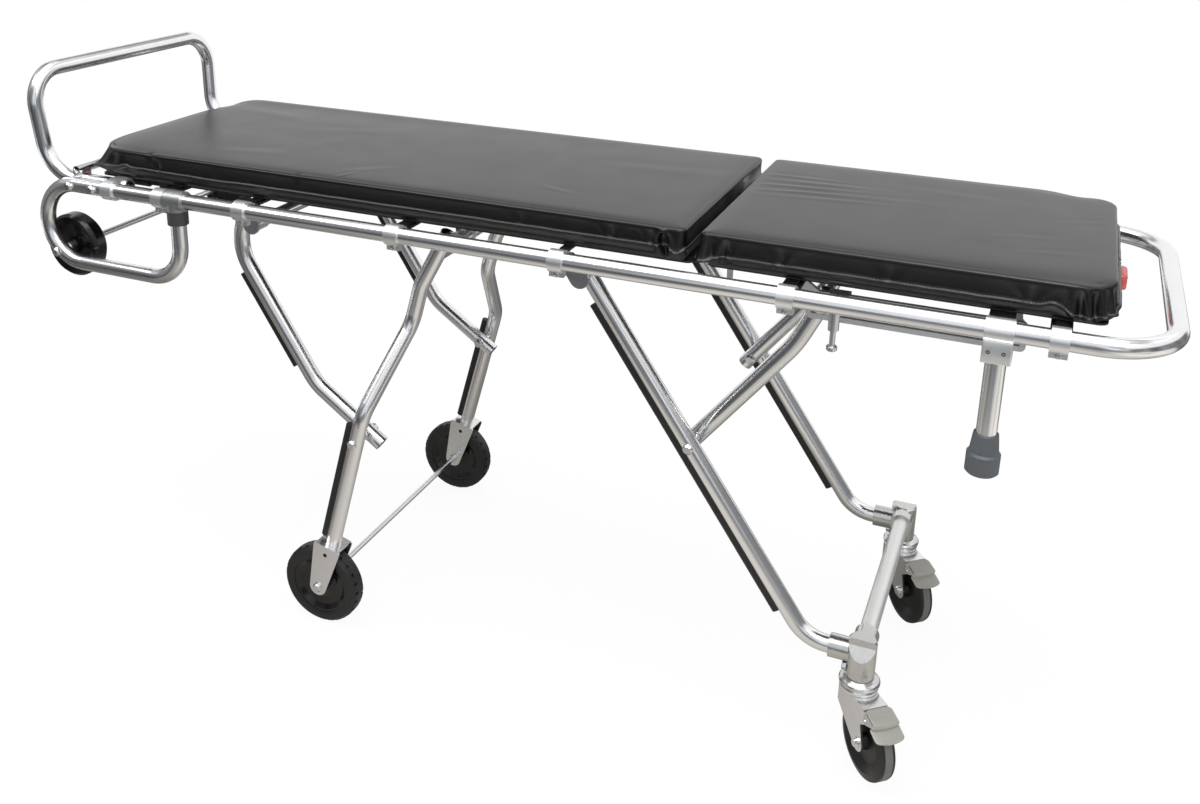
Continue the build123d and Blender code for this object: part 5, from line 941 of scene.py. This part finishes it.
def pedal_plate():
    """A thin rounded slab carried along the pedal line; it widens to a lip with a bowed edge."""
    reach = np.concatenate([[0], np.cumsum(np.hypot(*np.diff(PEDAL_LINE, axis=0).T))])
    place = np.linspace(0, reach[-1], PEDAL_ROWS)
    line = np.column_stack([np.interp(place, reach, column) for column in PEDAL_LINE.T])
    pad = PEDAL_SMOOTHING // 2
    before, beyond_end = 2 * line[0] - line[pad:0:-1], 2 * line[-1] - line[-2 : -pad - 2 : -1]
    padded = np.concatenate([before, line, beyond_end])
    window = np.hanning(PEDAL_SMOOTHING + 2)[1:-1]
    window = window / window.sum()
    line = np.column_stack([np.convolve(column, window, "valid") for column in padded.T])
    ahead = np.gradient(line, axis=0)
    ahead /= np.linalg.norm(ahead, axis=1, keepdims=True)
    over = np.column_stack([-ahead[:, 1], ahead[:, 0]])
    lip = np.clip((place - reach[2]) / LIP_RUN, 0, 1)
    half = PEDAL_HALF_WIDE + LIP_EXTRA * lip
    half -= corner_cut(LIP_CORNER, reach[-1] - place) + corner_cut(ROOT_CORNER, place)

    across = np.sin(np.linspace(-pi / 2, pi / 2, SLAB_POINTS))
    thick = PEDAL_HALF_THICK * np.sqrt(np.maximum(1 - np.abs(across) ** 8, 0))
    under = np.column_stack([across, -thick])[-2:0:-1]
    wide, high = np.concatenate([np.column_stack([across, thick]), under]).T[:, None]
    fade_in = np.clip((place - RIBS_START) / RIB_FADE, 0, 1)
    fade_out = np.clip((RIBS_END - place) / RIB_FADE, 0, 1)
    ribs = RIB_HEIGHT * np.abs(np.sin(pi * place / RIB_PITCH)) * fade_in * fade_out
    level = high + np.where(high > 0.9, ribs[:, None], 0.0) * (np.abs(wide) < 0.85)
    bow = BOW_DEPTH * wide**2 * np.clip((place - BOW_START) / BOW_RUN, 0, 1)[:, None]
    points = np.stack([
        line[:, :1] + over[:, :1] * level - bow,
        half[:, None] * wide,
        line[:, 1:] + over[:, 1:] * level,
    ], axis=-1)
    count = wide.size
    loop = np.arange(count)
    ends = [loop[::-1].tolist(), (loop + (PEDAL_ROWS - 1) * count).tolist()]
    return points.reshape(-1, 3), grid_quads(PEDAL_ROWS, count, True).tolist() + ends


def at_caster(points, stem_y):
    """From the caster's own (along trail, across, up) to the cot: turned about its stem."""
    along, across, up = points.T
    return np.column_stack([
        STEM_X + along * np.cos(CASTER_TURN) - across * np.sin(CASTER_TURN),
        stem_y + along * np.sin(CASTER_TURN) + across * np.cos(CASTER_TURN),
        up,
    ])


# %% Fit the pedals
PIN_UP, PIN_ALONG = 118.0, 62.0
PIN_RADIUS, PIN_HALF, PIN_BEVEL = 3.0, 25.6, 0.8
PEDAL_CHEEK = [(PIN_UP, PIN_ALONG, 6.5), (127.0, 59.5, 2.0), (121.0, 80.0, 2.2)]
CHEEK_NEAR, CHEEK_FAR, CHEEK_BEVEL = 21.0, 23.5, 0.5
PLATE_CREASE, TURNED_CREASE, GRIP_CREASE = 40, 35, 50


def across_caster(circles, low, high, bevel):
    """A prism across the caster; its circles are given as (up, along, radius)."""
    points, faces = prism(circles, low, high, bevel)
    return points[:, [1, 2, 0]], faces


for side, stem_y in CASTERS:
    points, faces = joined([
        pedal_plate(),
        across_caster(PEDAL_CHEEK, CHEEK_NEAR, CHEEK_FAR, CHEEK_BEVEL),
        across_caster(PEDAL_CHEEK, -CHEEK_FAR, -CHEEK_NEAR, CHEEK_BEVEL),
    ])
    pedal = put_mesh(f"{side}_pedal", at_caster(points, stem_y), faces, f"{side}_pedal",
                     "grey_pedal", PLATE_CREASE)
    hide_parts(f"{side}_brake_pedal")
    pin_circle = (PIN_UP, PIN_ALONG, PIN_RADIUS)
    pin_points, pin_faces = across_caster([pin_circle], -PIN_HALF, PIN_HALF, PIN_BEVEL)
    put_mesh(f"{side}_pedal_pin", at_caster(pin_points, stem_y), pin_faces, f"{side}_pedal",
             "steel", PLATE_CREASE)
    print(side, "pedal:", len(points), "points")

# %% [markdown]
# ## Release grip
# The red grip at the operator's end slides out to free the legs. It is a moulded block with soft
# edges on a round rod that runs in a guide; both are hulls of circles with rounded ends.

# %% Grip and rod
GRIP_NEAR, GRIP_FAR = -4.0, 47.5
GRIP_LOW, GRIP_HIGH, GRIP_BEVEL = 768.5, 791.5, 3.0
GRIP_INNER, GRIP_OUTER = (892.0, 5.0), (894.0, 7.0)
ROD_Z, ROD_RADIUS, ROD_BEVEL = 774.0, 4.0, 0.6
ROD_START, ROD_END = 790.6, 892.0
grip_circles = [(x, y, radius) for x, radius in (GRIP_INNER, GRIP_OUTER)
                for y in (GRIP_NEAR + radius, GRIP_FAR - radius)]
grip = prism(grip_circles, GRIP_LOW, GRIP_HIGH, GRIP_BEVEL)
rod_points, rod_faces = prism([(0.0, ROD_Z, ROD_RADIUS)], ROD_START, ROD_END, ROD_BEVEL)
release = put_mesh("release_grip", *joined([grip, (rod_points[:, [2, 0, 1]], rod_faces)]),
                   "operator_pull", "red_plastic", GRIP_CREASE)
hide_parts("operator_release")
print("release grip:", len(release.data.vertices), "points")

# %% [markdown]
# ## Fasteners
# Small turned parts hold the cot together: pinch bolts behind the caster castings, screws through
# the ears of the rail clamps and set screws in the post blocks. Each is a profile spun round its
# own axis; a hexagon is the same profile with its radius cut back between the corners.

# %% Turned parts
# radius and height of each profile, from the seat to the head
PINCH_BOLT = ((0.0, 0.0), (8.4, 0.0), (8.4, 1.6), (6.9, 1.7), (6.9, 6.6), (6.0, 7.4), (0.0, 7.4))
EAR_SCREW = ((0.0, 0.0), (4.6, 0.0), (4.5, 1.4), (3.6, 2.5), (1.9, 2.8), (1.8, 1.4), (0.0, 1.2))
SET_SCREW = ((0.0, -1.0), (2.7, -1.0), (2.7, 0.35), (2.3, 0.55), (1.5, 0.5), (1.3, -0.6),
             (0.0, -0.8))
LEAST_RADIUS = 0.02


def turned(profile, places, axis, hexagon=False, count=24):
    """Spins a profile round an axis at each place; a hexagon's radius is flat over cosine."""
    turn = np.linspace(0, 2 * pi, count, endpoint=False)
    radius, height = np.array(profile).T
    corner = np.cos(pi / 6) / np.cos((turn % (pi / 3)) - pi / 6) if hexagon else np.ones(count)
    axis = np.array(axis, dtype=float)
    first = np.cross(axis, (0.0, 0.0, 1.0) if abs(axis[2]) < 0.9 else (1.0, 0.0, 0.0))
    second = np.cross(axis, first)
    spoke = (np.cos(turn)[:, None] * first + np.sin(turn)[:, None] * second) * corner[:, None]
    one = np.maximum(radius, LEAST_RADIUS)[:, None, None] * spoke + height[:, None, None] * axis
    points = np.array(places, dtype=float)[:, None, None] + one[None]
    start = np.arange(len(places))[:, None, None] * len(profile) * count
    loop = np.arange(count)
    caps = np.stack([loop[::-1], loop + (len(profile) - 1) * count])
    sides = grid_quads(len(profile), count, True)
    faces = (sides[None] + start).reshape(-1, 4).tolist()
    return points.reshape(-1, 3), faces + (caps[None] + start).reshape(-1, count).tolist()


# %% Place the fasteners
CLAMP_XS = (-664.0, -490.0, -188.5, 100.5, 455.5, 818.5)
EAR_FACE_Y, EAR_SCREW_Z = 270.5, 757.5
PINCH_BACK, PINCH_Z = 21.8, 161.0
POST_X, RAIL_Y = 743.5, 265.0
BLOCK_HALF, BLOCK_DEEP = 19.5, 18.6
BLOCK_LOW, BLOCK_HIGH = 735.6, 768.0
BLOCK_CORNER, BLOCK_BEVEL = 2.0, 1.2
SET_SCREW_Z, SET_SCREW_XS = 752.0, (-11.0, 9.0)
pinch_places = [(STEM_X - PINCH_BACK, y, PINCH_Z) for _, y in CASTERS]
put_mesh("pinch_bolts", *turned(PINCH_BOLT, pinch_places, (-1, 0, 0), hexagon=True),
         "rear_legs", "steel", TURNED_CREASE)
for side, way in (("near", -1), ("far", 1)):
    ear_places = [(x, way * EAR_FACE_Y, EAR_SCREW_Z) for x in CLAMP_XS]
    put_mesh(f"{side}_ear_screws", *turned(EAR_SCREW, ear_places, (0, way, 0)), "frame",
             "steel", TURNED_CREASE)
    corners = [(POST_X + dx * (BLOCK_HALF - BLOCK_CORNER),
                way * RAIL_Y + dy * (BLOCK_DEEP - BLOCK_CORNER), BLOCK_CORNER)
               for dx in (-1, 1) for dy in (-1, 1)]
    put_mesh(f"{side}_post_block", *prism(corners, BLOCK_LOW, BLOCK_HIGH, BLOCK_BEVEL),
             "frame", "bare_aluminium", PLATE_CREASE)
    screw_places = [(POST_X + dx, way * (RAIL_Y + BLOCK_DEEP), SET_SCREW_Z) for dx in SET_SCREW_XS]
    put_mesh(f"{side}_set_screws", *turned(SET_SCREW, screw_places, (0, way, 0)), "frame",
             "black_bracket", TURNED_CREASE)
print("fasteners:", len(pinch_places), "pinch bolts,", 2 * len(CLAMP_XS), "ear screws,",
      2 * len(SET_SCREW_XS), "set screws and 2 post blocks")
